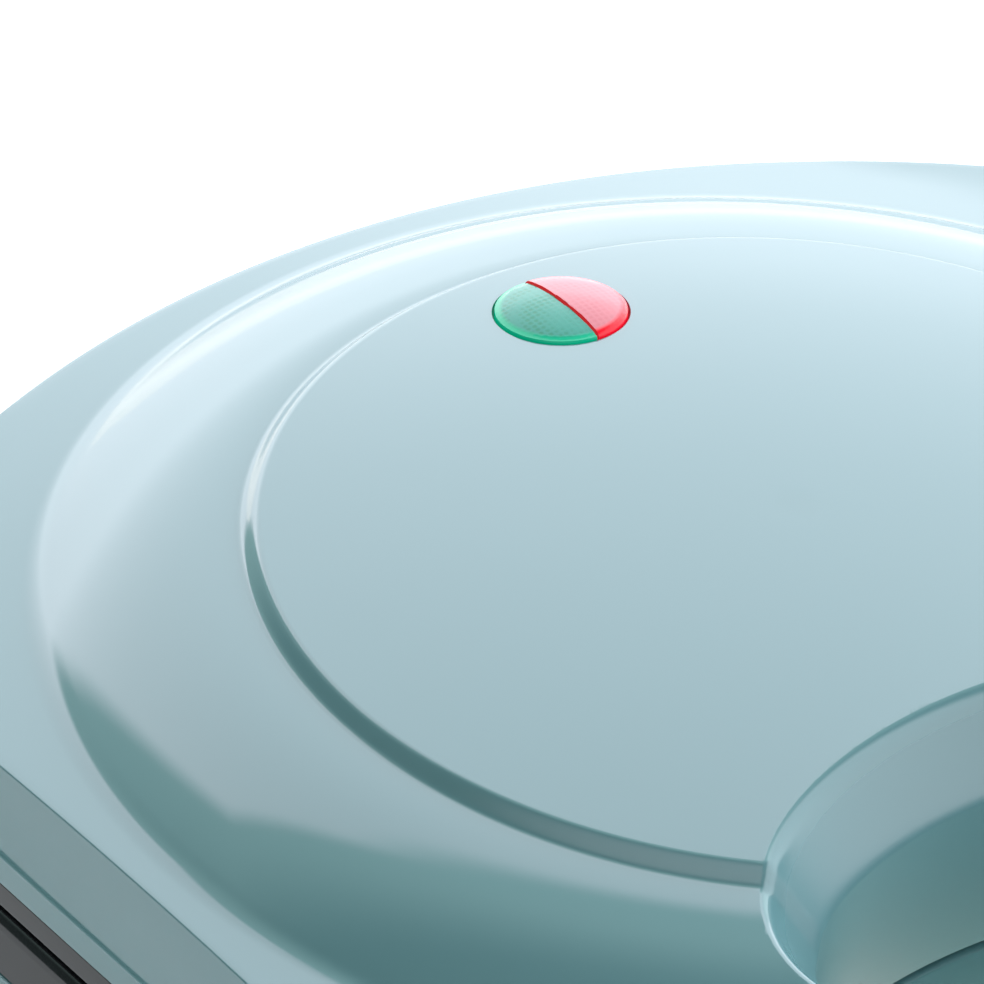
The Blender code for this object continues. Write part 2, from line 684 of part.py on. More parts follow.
def make_frame(name, side, band, finish):
    """The black frame that closes a half at the parting plane and carries its cooking plate."""
    def level(depth):
        return PARTING_HEIGHT + side * (PARTING_GAP / 2 + depth)

    outer = LIP_OFFSET - FRAME_INSET
    spigot = LIP_OFFSET - LID_WALL - CLEARANCE
    rings = [outline_ring(outer - FRAME_ROUND, level(0))]
    rings.append(outline_ring(outer - FRAME_ROUND * ROUND_SHARE, level(FRAME_ROUND * ROUND_SHARE)))
    rings.append(outline_ring(outer, level(FRAME_ROUND)))
    rings.append(outline_ring(outer, level(band)))
    rings.append(outline_ring(spigot, level(band)))
    rings.append(outline_ring(spigot, level(band + SPIGOT_DEPTH)))
    rings.append(outline_ring(spigot - FRAME_SHEET, level(band + SPIGOT_DEPTH)))
    rings.append(outline_ring(spigot - FRAME_SHEET, level(FRAME_SHEET)))
    frame = loft(name, rings, finish)
    grow = WELL_WALL + CLEARANCE
    well = rounded_rectangle(PLATE_WIDTH + 2 * grow, PLATE_DEPTH + 2 * grow, PLATE_CORNER + grow, PLATE_CENTRE_Y)
    low, high = sorted((level(FRAME_SHEET / 2), level(WELL_DEPTH)))
    join(frame, prism("well", well, low, high))
    grow = CLEARANCE
    rebate = rounded_rectangle(PLATE_WIDTH + 2 * grow, PLATE_DEPTH + 2 * grow, PLATE_CORNER + grow, PLATE_CENTRE_Y)
    seat = level(PLATE_HALF_GAP + PLATE_SHEET + CLEARANCE - PARTING_GAP / 2)
    low, high = sorted((level(-OVERRUN), seat))
    cut(frame, prism("rebate", rebate, low, high))
    through = rounded_rectangle(PLATE_WIDTH - 2 * LEDGE, PLATE_DEPTH - 2 * LEDGE, PLATE_CORNER - LEDGE, PLATE_CENTRE_Y)
    low, high = sorted((level(-OVERRUN), level(WELL_DEPTH + OVERRUN)))
    cut(frame, prism("through", through, low, high))
    grow = LID_WALL + CLEARANCE - MOUTH_INSET
    cut(frame, loft("hole_room", [hole_ring(grow, low), hole_ring(grow, high)]))
    return frame


# Cooking plates

def pocket_corners():
    """Corners and rounding of the four three-cornered pockets."""
    x0, x1 = RIDGE_WIDTH / 2, PLATE_WIDTH / 2 - POCKET_MARGIN
    y0 = PLATE_CENTRE_Y - PLATE_DEPTH / 2 + POCKET_MARGIN
    y1 = PLATE_CENTRE_Y + PLATE_DEPTH / 2 - POCKET_MARGIN
    radii = (POCKET_TIP, POCKET_CORNER, POCKET_TIP)
    for side in (-1, 1):
        inner, outer = side * x0, side * x1
        front = [(inner, y0), (outer, y0), (outer, y1)]
        back = [(outer, y1), (inner, y1), (inner, y0)]
        for corners in (front, back):
            yield (corners if side > 0 else corners[::-1]), radii


def pocket_solid(name, corners, radii, grow, top, bottom, draft):
    """A three-cornered block with rounded corners, narrower at its bottom."""
    shrink = RIDGE_WIDTH / 4
    upper = rounded_polygon(corners, shrink - grow, [radius + grow for radius in radii])
    lower = rounded_polygon(corners, shrink - grow + draft, [radius + grow for radius in radii])
    rings = [[Vector((x, y, top)) for x, y in upper], [Vector((x, y, bottom)) for x, y in lower]]
    return loft(name, rings)


def make_plate(name, side, finish):
    """A cast plate with three-cornered pockets, a ridge between them, and a seat for the thermostat behind."""
    def level(depth):
        return PARTING_HEIGHT + side * (PLATE_HALF_GAP + depth)

    low, high = sorted((level(0), level(PLATE_SHEET)))
    outline = rounded_rectangle(PLATE_WIDTH, PLATE_DEPTH, PLATE_CORNER, PLATE_CENTRE_Y)
    plate = prism(name, outline, low, high, finish)
    back = level(POCKET_DEPTH + POCKET_WALL)
    for corners, radii in pocket_corners():
        join(plate, pocket_solid("boss", corners, radii, POCKET_WALL, level(PLATE_SHEET / 2), back, POCKET_DRAFT))
    low, high = sorted((level(PLATE_SHEET / 2), back))
    join(plate, plug("seat", SEAT_RADIUS, low, high, Matrix.Translation((0, PLATE_CENTRE_Y, 0))))
    for corners, radii in pocket_corners():
        steeper = POCKET_DRAFT * (POCKET_DEPTH + OVERRUN) / POCKET_DEPTH
        lift = steeper - POCKET_DRAFT
        cut(plate, pocket_solid("pocket", corners, radii, lift, level(-OVERRUN), level(POCKET_DEPTH), steeper))
    return plate


# Heating elements, reflectors, thermostat and fuse

PLATE_BACK = PLATE_HALF_GAP + POCKET_DEPTH + POCKET_WALL
ELEMENT_LEVEL = PLATE_BACK + CLEARANCE + ELEMENT_RADIUS
REFLECTOR_LEVEL = PLATE_BACK + 2 * CLEARANCE + 2 * ELEMENT_RADIUS


def make_tube(name, points, radius, steps, finish):
    """A round bar along points, with flat ends."""
    points = [Vector(point) for point in points]
    rings, across = [], None
    for i, point in enumerate(points):
        before = points[max(i - 1, 0)]
        after = points[min(i + 1, len(points) - 1)]
        along = (after - before).normalized()
        if across is None:
            across = along.orthogonal().normalized()
        across = (across - along * across.dot(along)).normalized()
        other = along.cross(across)
        angles = [math.tau * k / steps for k in range(steps)]
        rings.append([point + radius * (across * math.cos(a) + other * math.sin(a)) for a in angles])
    return loft(name, rings, finish)


def make_element(name, side, finish):
    """A sheathed heater in one loop, open towards the back."""
    z = PARTING_HEIGHT + side * ELEMENT_LEVEL
    loop = rounded_rectangle(ELEMENT_WIDTH, ELEMENT_DEPTH, ELEMENT_CORNER, PLATE_CENTRE_Y)
    half = len(loop) // 2
    back_right = loop[half:half + CORNER_POINTS]
    back_left = loop[half + CORNER_POINTS:]
    path = back_left + loop[:half] + back_right
    back_y = PLATE_CENTRE_Y + ELEMENT_DEPTH / 2
    path = [(-ELEMENT_MOUTH / 2, back_y)] + path + [(ELEMENT_MOUTH / 2, back_y)]
    return make_tube(name, [(x, y, z) for x, y in path], ELEMENT_RADIUS, BAR_STEPS, finish)


def make_reflector(name, side, finish):
    """A thin tray behind the heater that sends its heat back to the plate."""
    def ring(grow, depth):
        size = (REFLECTOR_WIDTH + 2 * grow, REFLECTOR_DEPTH + 2 * grow, REFLECTOR_CORNER + grow)
        z = PARTING_HEIGHT + side * (REFLECTOR_LEVEL + depth)
        return [Vector((x, y, z)) for x, y in rounded_rectangle(*size, PLATE_CENTRE_Y)]

    rings = [ring(0, REFLECTOR_SHEET), ring(REFLECTOR_SHEET, REFLECTOR_SHEET)]
    rings += [ring(REFLECTOR_SHEET, -REFLECTOR_LIP), ring(0, -REFLECTOR_LIP), ring(0, 0)]
    tray = loft(name, rings, finish)
    reach = REFLECTOR_LEVEL + REFLECTOR_SHEET + OVERRUN
    low, high = sorted((PARTING_HEIGHT + side * ELEMENT_LEVEL, PARTING_HEIGHT + side * reach))
    cut(tray, plug("hole", REFLECTOR_HOLE, low, high, Matrix.Translation((0, PLATE_CENTRE_Y, 0))))
    front = ELEMENT_DEPTH / 2 + NOTCH_START
    depth = max(front, REFLECTOR_DEPTH / 2) + OVERRUN - front
    notch = rounded_rectangle(NOTCH_WIDTH, depth, NOTCH_CORNER, PLATE_CENTRE_Y + front + depth / 2, SLOT_POINTS)
    low, high = sorted((PARTING_HEIGHT + side * PLATE_HALF_GAP, PARTING_HEIGHT + side * reach))
    cut(tray, prism("notch", notch, low, high))
    return tray


def make_thermostat(finish):
    """A round snap thermostat that sits on the upper plate's seat."""
    low = PARTING_HEIGHT + PLATE_BACK + CLEARANCE
    cap = THERMOSTAT_RADIUS * THERMOSTAT_CAP_SHARE
    shoulder = low + THERMOSTAT_HEIGHT / 2
    profile = [(THERMOSTAT_RADIUS, low), (THERMOSTAT_RADIUS, shoulder)]
    profile += [(cap, shoulder), (cap, low + THERMOSTAT_HEIGHT)]
    return turned("thermostat", profile, Matrix.Translation((0, PLATE_CENTRE_Y, 0)), finish)


def make_fuse(finish):
    """A thermal fuse that lies across the lower plate's seat."""
    z = PARTING_HEIGHT - PLATE_BACK - CLEARANCE - FUSE_RADIUS
    half = FUSE_LENGTH / 2
    tip = FUSE_RADIUS / 2
    profile = [(tip, -half), (FUSE_RADIUS, tip - half), (FUSE_RADIUS, half - tip), (tip, half)]
    return turned("thermal_fuse", profile, axis_x(PLATE_CENTRE_Y, z), finish, steps=LAMP_STEPS)


# Indicator lens, holder and lamps

def make_lens(name, side, finish):
    """Half of the round lens, with a flange behind the lid's skin that keeps it in."""
    sag = DISC_CROWN * ((LENS_RADIUS + LENS_FLANGE) / DISC_RADIUS) ** 2
    seat = -LID_WALL - CLEARANCE - sag
    flange = LENS_RADIUS + LENS_FLANGE
    profile = [(flange, seat - LENS_FLANGE_SHEET), (flange, seat)]
    profile += [(LENS_RADIUS, seat), (LENS_RADIUS, LENS_PROUD / 2), (LENS_RADIUS - LENS_PROUD, LENS_PROUD)]
    lens = turned(name, profile, lens_place(), finish, steps=LENS_STEPS)
    reach = 2 * flange
    near, far = sorted((side * LENS_SPLIT_GAP / 2, -side * reach))
    rings = [[lens_place() @ Vector((x, y, z)) for x, y in
              ((near, -reach), (far, -reach), (far, reach), (near, reach))] for z in (-reach, reach)]
    cut(lens, loft("other_half", rings))
    return lens


def lens_back():
    """Height of the lens's back in its own frame."""
    sag = DISC_CROWN * ((LENS_RADIUS + LENS_FLANGE) / DISC_RADIUS) ** 2
    return -LID_WALL - CLEARANCE - sag - LENS_FLANGE_SHEET


def make_lamp_holder(finish):
    """A round holder behind the lens, with a bore for each lamp."""
    top = lens_back() - CLEARANCE
    radius = LENS_RADIUS + LENS_FLANGE + HOLDER_WALL
    holder = plug("lamp_holder", radius, top - HOLDER_HEIGHT, top, lens_place(), finish)
    for side in (-1, 1):
        place = lens_place() @ Matrix.Translation((side * LAMP_OFFSET, 0, top))
        cut(holder, plug("bore", LAMP_RADIUS + CLEARANCE, -LAMP_LENGTH - CLEARANCE, OVERRUN, place, steps=LAMP_STEPS))
    return holder


def make_lamp(name, side, finish):
    """A small neon lamp with a round tip, in its bore."""
    place = lens_place() @ Matrix.Translation((side * LAMP_OFFSET, 0, lens_back() - CLEARANCE - LAMP_LENGTH))
    tip = LAMP_RADIUS / 2
    profile = [(LAMP_RADIUS, 0), (LAMP_RADIUS, LAMP_LENGTH - LAMP_RADIUS)]
    profile += [(LAMP_RADIUS - tip / 2, LAMP_LENGTH - tip), (0, LAMP_LENGTH - CLEARANCE)]
    return turned(name, profile, place, finish, steps=LAMP_STEPS)


# Latch, pins, feet, inlet, terminals and leads

def make_latch_clip(finish):
    """The clip that hangs from the lid's lugs and hooks into the base's slot."""
    back = LATCH_Y + LATCH_SHEET / 2
    front = LATCH_Y - LATCH_SHEET / 2
    bottom = LATCH_Z - LATCH_REACH
    half_angle = math.asin(LATCH_SHEET / 2 / LATCH_BARREL)
    outline = []
    for k in range(2 * KNUCKLE_STEPS + 1):
        angle = mix(half_angle - math.pi / 2, 1.5 * math.pi - half_angle, k / (2 * KNUCKLE_STEPS))
        outline.append((LATCH_Y + LATCH_BARREL * math.cos(angle), LATCH_Z + LATCH_BARREL * math.sin(angle)))
    outline += [(front, bottom + LATCH_SHEET / 2), (front + LATCH_SHEET / 2, bottom)]
    outline += [(back + LATCH_HOOK, bottom), (back + LATCH_HOOK, bottom + LATCH_HOOK_SHEET)]
    outline += [(back, bottom + LATCH_HOOK_SHEET)]
    half = LATCH_WIDTH / 2
    clip = side_prism("latch_clip", outline, -half, half, finish)
    cut(clip, plug("bore", LATCH_PIN_RADIUS + BORE_CLEARANCE, -half - OVERRUN, half + OVERRUN, axis_x(LATCH_Y, LATCH_Z)))
    return clip


def make_feet(finish):
    """Four rubber feet, each with a stem through the floor."""
    feet = []
    for name, (x, y) in foot_places().items():
        top = FLOOR_HEIGHT - CLEARANCE
        stem = FLOOR_HEIGHT + BASE_WALL + FOOT_STEM_RISE
        profile = [(FOOT_RADIUS - FOOT_TAPER, 0), (FOOT_RADIUS, FOOT_TAPER), (FOOT_RADIUS, top)]
        profile += [(FOOT_STEM, top), (FOOT_STEM, stem)]
        feet.append(turned(name, profile, Matrix.Translation((x, y, 0)), finish))
    return feet


def make_inlet_bush(finish):
    """The bush that lines the cord inlet."""
    tail = -INLET_PAD_DEPTH - INLET_TAIL
    profile = [(INLET_BORE, tail), (INLET_TUBE, tail), (INLET_TUBE, CLEARANCE), (INLET_FLANGE, CLEARANCE)]
    profile += [(INLET_FLANGE, INLET_FLANGE_SHEET), (INLET_TUBE, INLET_FLANGE_SHEET + INLET_FLANGE - INLET_TUBE)]
    profile += [(INLET_BORE, INLET_FLANGE_SHEET + INLET_FLANGE - INLET_TUBE)]
    return turned("cord_inlet_bush", profile, inlet_place(), finish, closed=True)


def block_centre_y():
    return OUTLINE_BACK - FLOOR_INSET - BLOCK_BACK_GAP - BLOCK_DEPTH / 2


def make_terminal_block(finish):
    """The block on the base's floor where the supply meets the inner leads."""
    low = FLOOR_HEIGHT + BASE_WALL + CLEARANCE
    outline = rounded_rectangle(BLOCK_WIDTH, BLOCK_DEPTH, BLOCK_CORNER, block_centre_y())
    block = prism("terminal_block", outline, low, low + BLOCK_HEIGHT, finish)
    for k in (-1, 0, 1):
        place = Matrix.Translation((k * BLOCK_WIDTH * WELL_PITCH_SHARE, block_centre_y(), low + BLOCK_HEIGHT))
        cut(block, plug("well", BLOCK_WELL, -BLOCK_WELL_DEPTH, OVERRUN, place, steps=LAMP_STEPS))
    return block


def arc_path(start, end, lift):
    """A smooth bow between two places, with its ends upright."""
    start, end = Vector(start), Vector(end)
    points = []
    for i in range(LEAD_RUN_STEPS + 1):
        t = i / LEAD_RUN_STEPS
        points.append(start * (1 - t) ** 3 + (start + lift) * 3 * t * (1 - t) ** 2
                      + (end + lift) * 3 * t * t * (1 - t) + end * t**3)
    return points


def make_leads(red, blue):
    """The inner leads: from the terminal block to the lower heater, and from the upper heater to the thermostat."""
    made = []
    block_top = FLOOR_HEIGHT + BASE_WALL + CLEARANCE + BLOCK_HEIGHT
    back_y = PLATE_CENTRE_Y + ELEMENT_DEPTH / 2 + ELEMENT_RADIUS + LEAD_RADIUS + CLEARANCE
    for name, side, finish in (("base_lead_live", 1, red), ("base_lead_neutral", -1, blue)):
        start = (side * BLOCK_WIDTH * WELL_PITCH_SHARE, block_centre_y(), block_top - BLOCK_WELL_DEPTH + CLEARANCE)
        end = (side * ELEMENT_MOUTH / 2, back_y, PARTING_HEIGHT - ELEMENT_LEVEL)
        points = [Vector(start), Vector(start) + Vector((0, 0, BLOCK_WELL_DEPTH))]
        bow = arc_path(points[1], end, Vector((0, 0, 0)))
        made.append(make_tube(name, points[:1] + bow, LEAD_RADIUS, LEAD_STEPS, finish))
    return made


def hold(empty_name, place, pieces):
    """Hangs moving pieces on an empty that stands on their joint's axis."""
    empty = bpy.data.objects.new(empty_name, None)
    empty.location = place
    bpy.context.scene.collection.objects.link(empty)
    for piece in pieces:
        piece.parent = empty
        piece.location = -Vector(place)
    return empty


def centre_on_origin():
    """Moves the whole object so that the middle of its depth is at zero."""
    back = HINGE_Y + KNUCKLE_RADIUS
    front = LATCH_Y - LUG_RADIUS
    for piece in bpy.data.objects:
        if piece.parent is None:
            piece.location.y -= (back + front) / 2


def main():
    for old in list(bpy.data.objects):
        bpy.data.objects.remove(old)
    pastel = material("pastel_gloss_plastic", PASTEL, 0.12)
    black = material("black_gloss_plastic", BLACK, 0.18)
    coated = material("non_stick_coating", COATING, 0.45)
    steel = material("steel", STEEL, 0.3, 1.0)
    aluminium = material("aluminium_sheet", ALUMINIUM, 0.35, 1.0)
    green = material("green_lens_plastic", GREEN, 0.05)
    red = material("red_lens_plastic", RED, 0.05)
    rubber = material("rubber", RUBBER, 0.8)
    ceramic = material("ceramic", CERAMIC, 0.5)
    glass = material("lamp_glass", LAMP_GLASS, 0.1)
    red_sleeve = material("red_sleeve", RED_SLEEVE, 0.5)
    blue_sleeve = material("blue_sleeve", BLUE_SLEEVE, 0.5)

    make_base_shell(pastel)
    make_frame("base_inner_frame", -1, BASE_BAND, black)
    make_plate("lower_cooking_plate", -1, coated)
    make_element("lower_heating_element", -1, steel)
    make_reflector("lower_heat_reflector", -1, aluminium)
    make_fuse(ceramic)
    make_terminal_block(ceramic)
    make_inlet_bush(rubber)
    make_feet(rubber)
    make_leads(red_sleeve, blue_sleeve)
    pin_half = LID_EAR_WIDTH / 2 + CLEARANCE + BASE_EAR_WIDTH
    for name, side in (("hinge_pin_left", -1), ("hinge_pin_right", 1)):
        centre = side * HINGE_CENTRE_X
        place = axis_x(HINGE_Y, PARTING_HEIGHT)
        plug(name, HINGE_PIN_RADIUS, centre - pin_half, centre + pin_half, place, steel)

    lid = [
        make_lid_shell(pastel),
        make_frame("lid_inner_frame", 1, LID_BAND, black),
        make_plate("upper_cooking_plate", 1, coated),
        make_element("upper_heating_element", 1, steel),
        make_reflector("upper_heat_reflector", 1, aluminium),
        make_thermostat(ceramic),
        make_lens("green_lens", -1, green),
        make_lens("red_lens", 1, red),
        make_lamp_holder(ceramic),
        make_lamp("ready_lamp", -1, glass),
        make_lamp("power_lamp", 1, glass),
    ]
    pin_half = LATCH_WIDTH / 2 + CLEARANCE + LUG_WIDTH
    lid.append(plug("latch_pin", LATCH_PIN_RADIUS, -pin_half, pin_half, axis_x(LATCH_Y, LATCH_Z), steel, LAMP_STEPS))
    hold("lid_hinge_axis", (0, HINGE_Y, PARTING_HEIGHT), lid)
    hold("latch_axis", (0, LATCH_Y, LATCH_Z), [make_latch_clip(black)])
    centre_on_origin()


main()
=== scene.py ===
import bpy, bmesh, math
import numpy as np
from mathutils import Matrix, Vector


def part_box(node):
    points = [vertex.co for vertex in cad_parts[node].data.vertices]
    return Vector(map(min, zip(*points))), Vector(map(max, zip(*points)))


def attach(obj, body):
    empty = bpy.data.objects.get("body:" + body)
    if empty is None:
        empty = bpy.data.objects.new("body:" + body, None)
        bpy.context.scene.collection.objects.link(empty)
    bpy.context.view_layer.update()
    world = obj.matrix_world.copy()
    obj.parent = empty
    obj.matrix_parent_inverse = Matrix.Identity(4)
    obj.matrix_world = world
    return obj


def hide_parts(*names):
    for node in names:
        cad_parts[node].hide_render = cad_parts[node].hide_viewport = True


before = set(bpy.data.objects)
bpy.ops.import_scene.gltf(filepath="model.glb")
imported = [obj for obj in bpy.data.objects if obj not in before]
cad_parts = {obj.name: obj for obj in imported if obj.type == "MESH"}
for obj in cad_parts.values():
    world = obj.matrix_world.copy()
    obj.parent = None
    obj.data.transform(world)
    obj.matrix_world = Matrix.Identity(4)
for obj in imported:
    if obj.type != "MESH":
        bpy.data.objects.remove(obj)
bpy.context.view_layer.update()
print("frame loaded:", len(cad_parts), "nodes")

mm = 0.001
plateLow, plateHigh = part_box("upper_cooking_plate")
middleY = (plateLow.y + plateHigh.y) / 2 - 17 * mm      # the lid's round top is centred here
parting = 50 * mm


# small helpers for work in edit mode

def deselectAll():
    if bpy.context.object and bpy.context.object.mode != "OBJECT":
        bpy.ops.object.mode_set(mode="OBJECT")
    bpy.ops.object.select_all(action="DESELECT")


def only(piece):
    deselectAll()
    piece.select_set(True)
    bpy.context.view_layer.objects.active = piece


def selectedVerts(piece):
    return [v for v in bmesh.from_edit_mesh(piece.data).verts if v.select]


def placeRing(piece, target):
    # moves the selected loop, each vertex by its own angle
    for v in selectedVerts(piece):
        v.co = target(math.atan2(v.co.y - ringCentre[1], v.co.x - ringCentre[0]))
    bmesh.update_edit_mesh(piece.data)


ringCentre = [0, middleY]


def stretchRings(name, count, targets, centre=(0, middleY), closeEnds=True, joinEnds=False):
    # a circle, extruded loop by loop, each loop pulled to its place
    deselectAll()
    ringCentre[0], ringCentre[1] = centre
    bpy.ops.mesh.primitive_circle_add(vertices=count, radius=0.01, location=(centre[0], centre[1], 0))
    piece = bpy.context.object
    piece.name = name
    bpy.ops.object.transform_apply(location=True)
    bpy.ops.object.mode_set(mode="EDIT")
    bpy.ops.mesh.select_mode(type="VERT")
    bpy.ops.mesh.select_all(action="SELECT")
    placeRing(piece, targets[0])
    if closeEnds:
        bpy.ops.mesh.edge_face_add()
        bpy.ops.mesh.select_all(action="SELECT")
    for target in targets[1:]:
        bpy.ops.mesh.extrude_edges_move()
        placeRing(piece, target)
    if closeEnds:
        bpy.ops.mesh.edge_face_add()
    bpy.ops.mesh.select_all(action="SELECT")
    if joinEnds:
        bpy.ops.mesh.remove_doubles(threshold=0.000001)
    bpy.ops.mesh.normals_make_consistent(inside=False)
    bpy.ops.object.mode_set(mode="OBJECT")
    return piece


def finishPiece(piece, body, material, replaced=(), angle=32):
    only(piece)
    bpy.ops.object.transform_apply(location=True, rotation=True, scale=True)
    bpy.ops.object.shade_smooth_by_angle(angle=math.radians(angle))
    piece.data.materials.clear()
    piece.data.materials.append(material)
    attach(piece, body)
    if replaced:
        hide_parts(*replaced)
    return piece


def applyBoolean(piece, other, operation):
    only(piece)
    cut = piece.modifiers.new("cut", "BOOLEAN")
    cut.operation, cut.solver, cut.object = operation, "EXACT", other
    bpy.ops.object.modifier_apply(modifier="cut")
    bpy.data.objects.remove(other)


def soften(piece, width, segments=3, angle=30):
    only(piece)
    bevel = piece.modifiers.new("soft", "BEVEL")
    bevel.width, bevel.segments, bevel.limit_method = width * mm, segments, "ANGLE"
    bevel.angle_limit = math.radians(angle)
    bpy.ops.object.modifier_apply(modifier="soft")
    return piece


def keepFlats(piece):
    # wide faces keep their own direction, and the narrow ones beside them take the bend
    only(piece)
    even = piece.modifiers.new("even", "WEIGHTED_NORMAL")
    even.keep_sharp, even.weight = True, 80
    bpy.ops.object.modifier_apply(modifier="even")


def turnedPiece(name, profile, place, count=64, joinEnds=False):
    # a profile of (radius, height) in millimetres, turned round the place's own upright
    rings = [lambda a, r=r, z=z: Vector((r * mm * math.cos(a), r * mm * math.sin(a), z * mm)) for r, z in profile]
    piece = stretchRings(name, count, rings, (0, 0), closeEnds=not joinEnds, joinEnds=joinEnds)
    piece.matrix_world = place
    only(piece)
    bpy.ops.object.transform_apply(location=True, rotation=True, scale=True)
    return piece


def extrudedPiece(name, points, depth, place, swell=0.0):
    # an outline in millimetres, pulled along the place's own upright; swell widens its far end
    deselectAll()
    bpy.ops.mesh.primitive_circle_add(vertices=len(points), radius=0.01)
    piece = bpy.context.object
    piece.name = name
    bpy.ops.object.mode_set(mode="EDIT")
    bpy.ops.mesh.select_mode(type="VERT")
    bpy.ops.mesh.select_all(action="SELECT")
    for v, (x, y) in zip(sorted(selectedVerts(piece), key=lambda v: v.index), points):
        v.co = Vector((x * mm, y * mm, 0))
    bpy.ops.mesh.edge_face_add()
    bpy.ops.mesh.extrude_region_move(TRANSFORM_OT_translate={"value": (0, 0, depth * mm)})
    if swell:
        bpy.ops.transform.resize(value=(1 + swell, 1 + swell, 1), center_override=(0, 0, 0))
    bpy.ops.mesh.select_all(action="SELECT")
    bpy.ops.mesh.normals_make_consistent(inside=False)
    bpy.ops.object.mode_set(mode="OBJECT")
    piece.matrix_world = place
    only(piece)
    bpy.ops.object.transform_apply(location=True, rotation=True, scale=True)
    return piece


def fromLeft(x):
    # a side view drawn as (y from the lid's middle, z from the parting plane), pulled towards +X
    return Matrix.Translation((x * mm, middleY, parting)) @ Matrix(((0, 0, 1, 0), (1, 0, 0, 0), (0, 1, 0, 0), (0, 0, 0, 1)))


def arcPoints(x, y, radius, start, end, steps):
    return [(x + radius * math.cos(math.radians(smoothMix(start, end, k / steps))),
             y + radius * math.sin(math.radians(smoothMix(start, end, k / steps)))) for k in range(steps + 1)]


def roundedBox(width, depth, corner, centreY=0.0, steps=10):
    points = []
    for k, (sx, sy) in enumerate(((1, 1), (-1, 1), (-1, -1), (1, -1))):
        points += arcPoints(sx * (width / 2 - corner), centreY + sy * (depth / 2 - corner), corner, 90 * k, 90 * k + 90, steps)
    return points


def smoothMix(a, b, t):
    return a + (b - a) * t


# materials

def newMaterial(name, base, roughness, metallic=0.0, ior=1.5, coat=0.0):
    made = bpy.data.materials.new(name)
    made.use_nodes = True
    shader = made.node_tree.nodes["Principled BSDF"]
    shader.inputs["Base Color"].default_value = (*base, 1)
    shader.inputs["Roughness"].default_value = roughness
    shader.inputs["Metallic"].default_value = metallic
    shader.inputs["IOR"].default_value = ior
    shader.inputs["Coat Weight"].default_value = coat
    return made


def addNode(material, kind, **values):
    node = material.node_tree.nodes.new(kind)
    for key, value in values.items():
        if key in node.inputs:
            node.inputs[key].default_value = value
        else:
            setattr(node, key, value)
    return node


def wire(material, start, output, end, entry):
    material.node_tree.links.new(start.outputs[output], end.inputs[entry])


def mottled(name, base, spread, scale, roughness, roughSpread, bump=0.0, bumpScale=400, stretch=(1, 1, 1), **more):
    # a finish with a faint change of colour, of gloss and of level
    made = newMaterial(name, base, roughness, **more)
    shader = made.node_tree.nodes["Principled BSDF"]
    place = addNode(made, "ShaderNodeTexCoord")
    turn = addNode(made, "ShaderNodeMapping")
    turn.inputs["Scale"].default_value = stretch
    wire(made, place, "Object", turn, "Vector")
    cloud = addNode(made, "ShaderNodeTexNoise", Scale=scale, Detail=4.0)
    wire(made, turn, "Vector", cloud, "Vector")
    tint = addNode(made, "ShaderNodeValToRGB")
    tint.color_ramp.elements[0].position, tint.color_ramp.elements[1].position = 0.3, 0.7
    tint.color_ramp.elements[0].color = (*[max(0, c * (1 - spread)) for c in base], 1)
    tint.color_ramp.elements[1].color = (*[min(1, c * (1 + spread)) for c in base], 1)
    wire(made, cloud, "Fac", tint, "Fac")
    wire(made, tint, "Color", shader, "Base Color")
    gloss = addNode(made, "ShaderNodeMapRange")
    gloss.inputs["To Min"].default_value = max(0.0, roughness - roughSpread)
    gloss.inputs["To Max"].default_value = roughness + roughSpread
    fine = addNode(made, "ShaderNodeTexNoise", Scale=bumpScale, Detail=6.0)
    wire(made, turn, "Vector", fine, "Vector")
    wire(made, fine, "Fac", gloss, "Value")
    wire(made, gloss, "Result", shader, "Roughness")
    if bump:
        lift = addNode(made, "ShaderNodeBump", Strength=bump, Distance=0.0002)
        wire(made, fine, "Fac", lift, "Height")
        wire(made, lift, "Normal", shader, "Normal")
    return made


pastelGloss = mottled("pastelGloss", (0.165, 0.33, 0.352), 0.02, 9, 0.06, 0.02, ior=2.0)
blackGloss = mottled("blackGloss", (0.012, 0.012, 0.014), 0.2, 40, 0.16, 0.05, ior=1.6)
nonStick = mottled("nonStick", (0.035, 0.035, 0.037), 0.35, 900, 0.42, 0.12, bump=0.25, bumpScale=1500)
plainSteel = mottled("plainSteel", (0.62, 0.62, 0.64), 0.06, 30, 0.28, 0.08, metallic=1.0, stretch=(1, 12, 12))
brightSheet = mottled("brightSheet", (0.78, 0.79, 0.81), 0.05, 20, 0.3, 0.1, metallic=1.0, stretch=(14, 1, 1))
footRubber = mottled("footRubber", (0.022, 0.022, 0.022), 0.3, 200, 0.7, 0.1, bump=0.3, bumpScale=900)
creamCeramic = mottled("creamCeramic", (0.78, 0.75, 0.68), 0.05, 80, 0.45, 0.1, bump=0.15, bumpScale=1200)
lampGlass = mottled("lampGlass", (0.85, 0.78, 0.66), 0.03, 60, 0.06, 0.02)
redSleeve = mottled("redSleeve", (0.45, 0.03, 0.03), 0.1, 120, 0.5, 0.05)
blueSleeve = mottled("blueSleeve", (0.04, 0.10, 0.40), 0.1, 120, 0.5, 0.05)


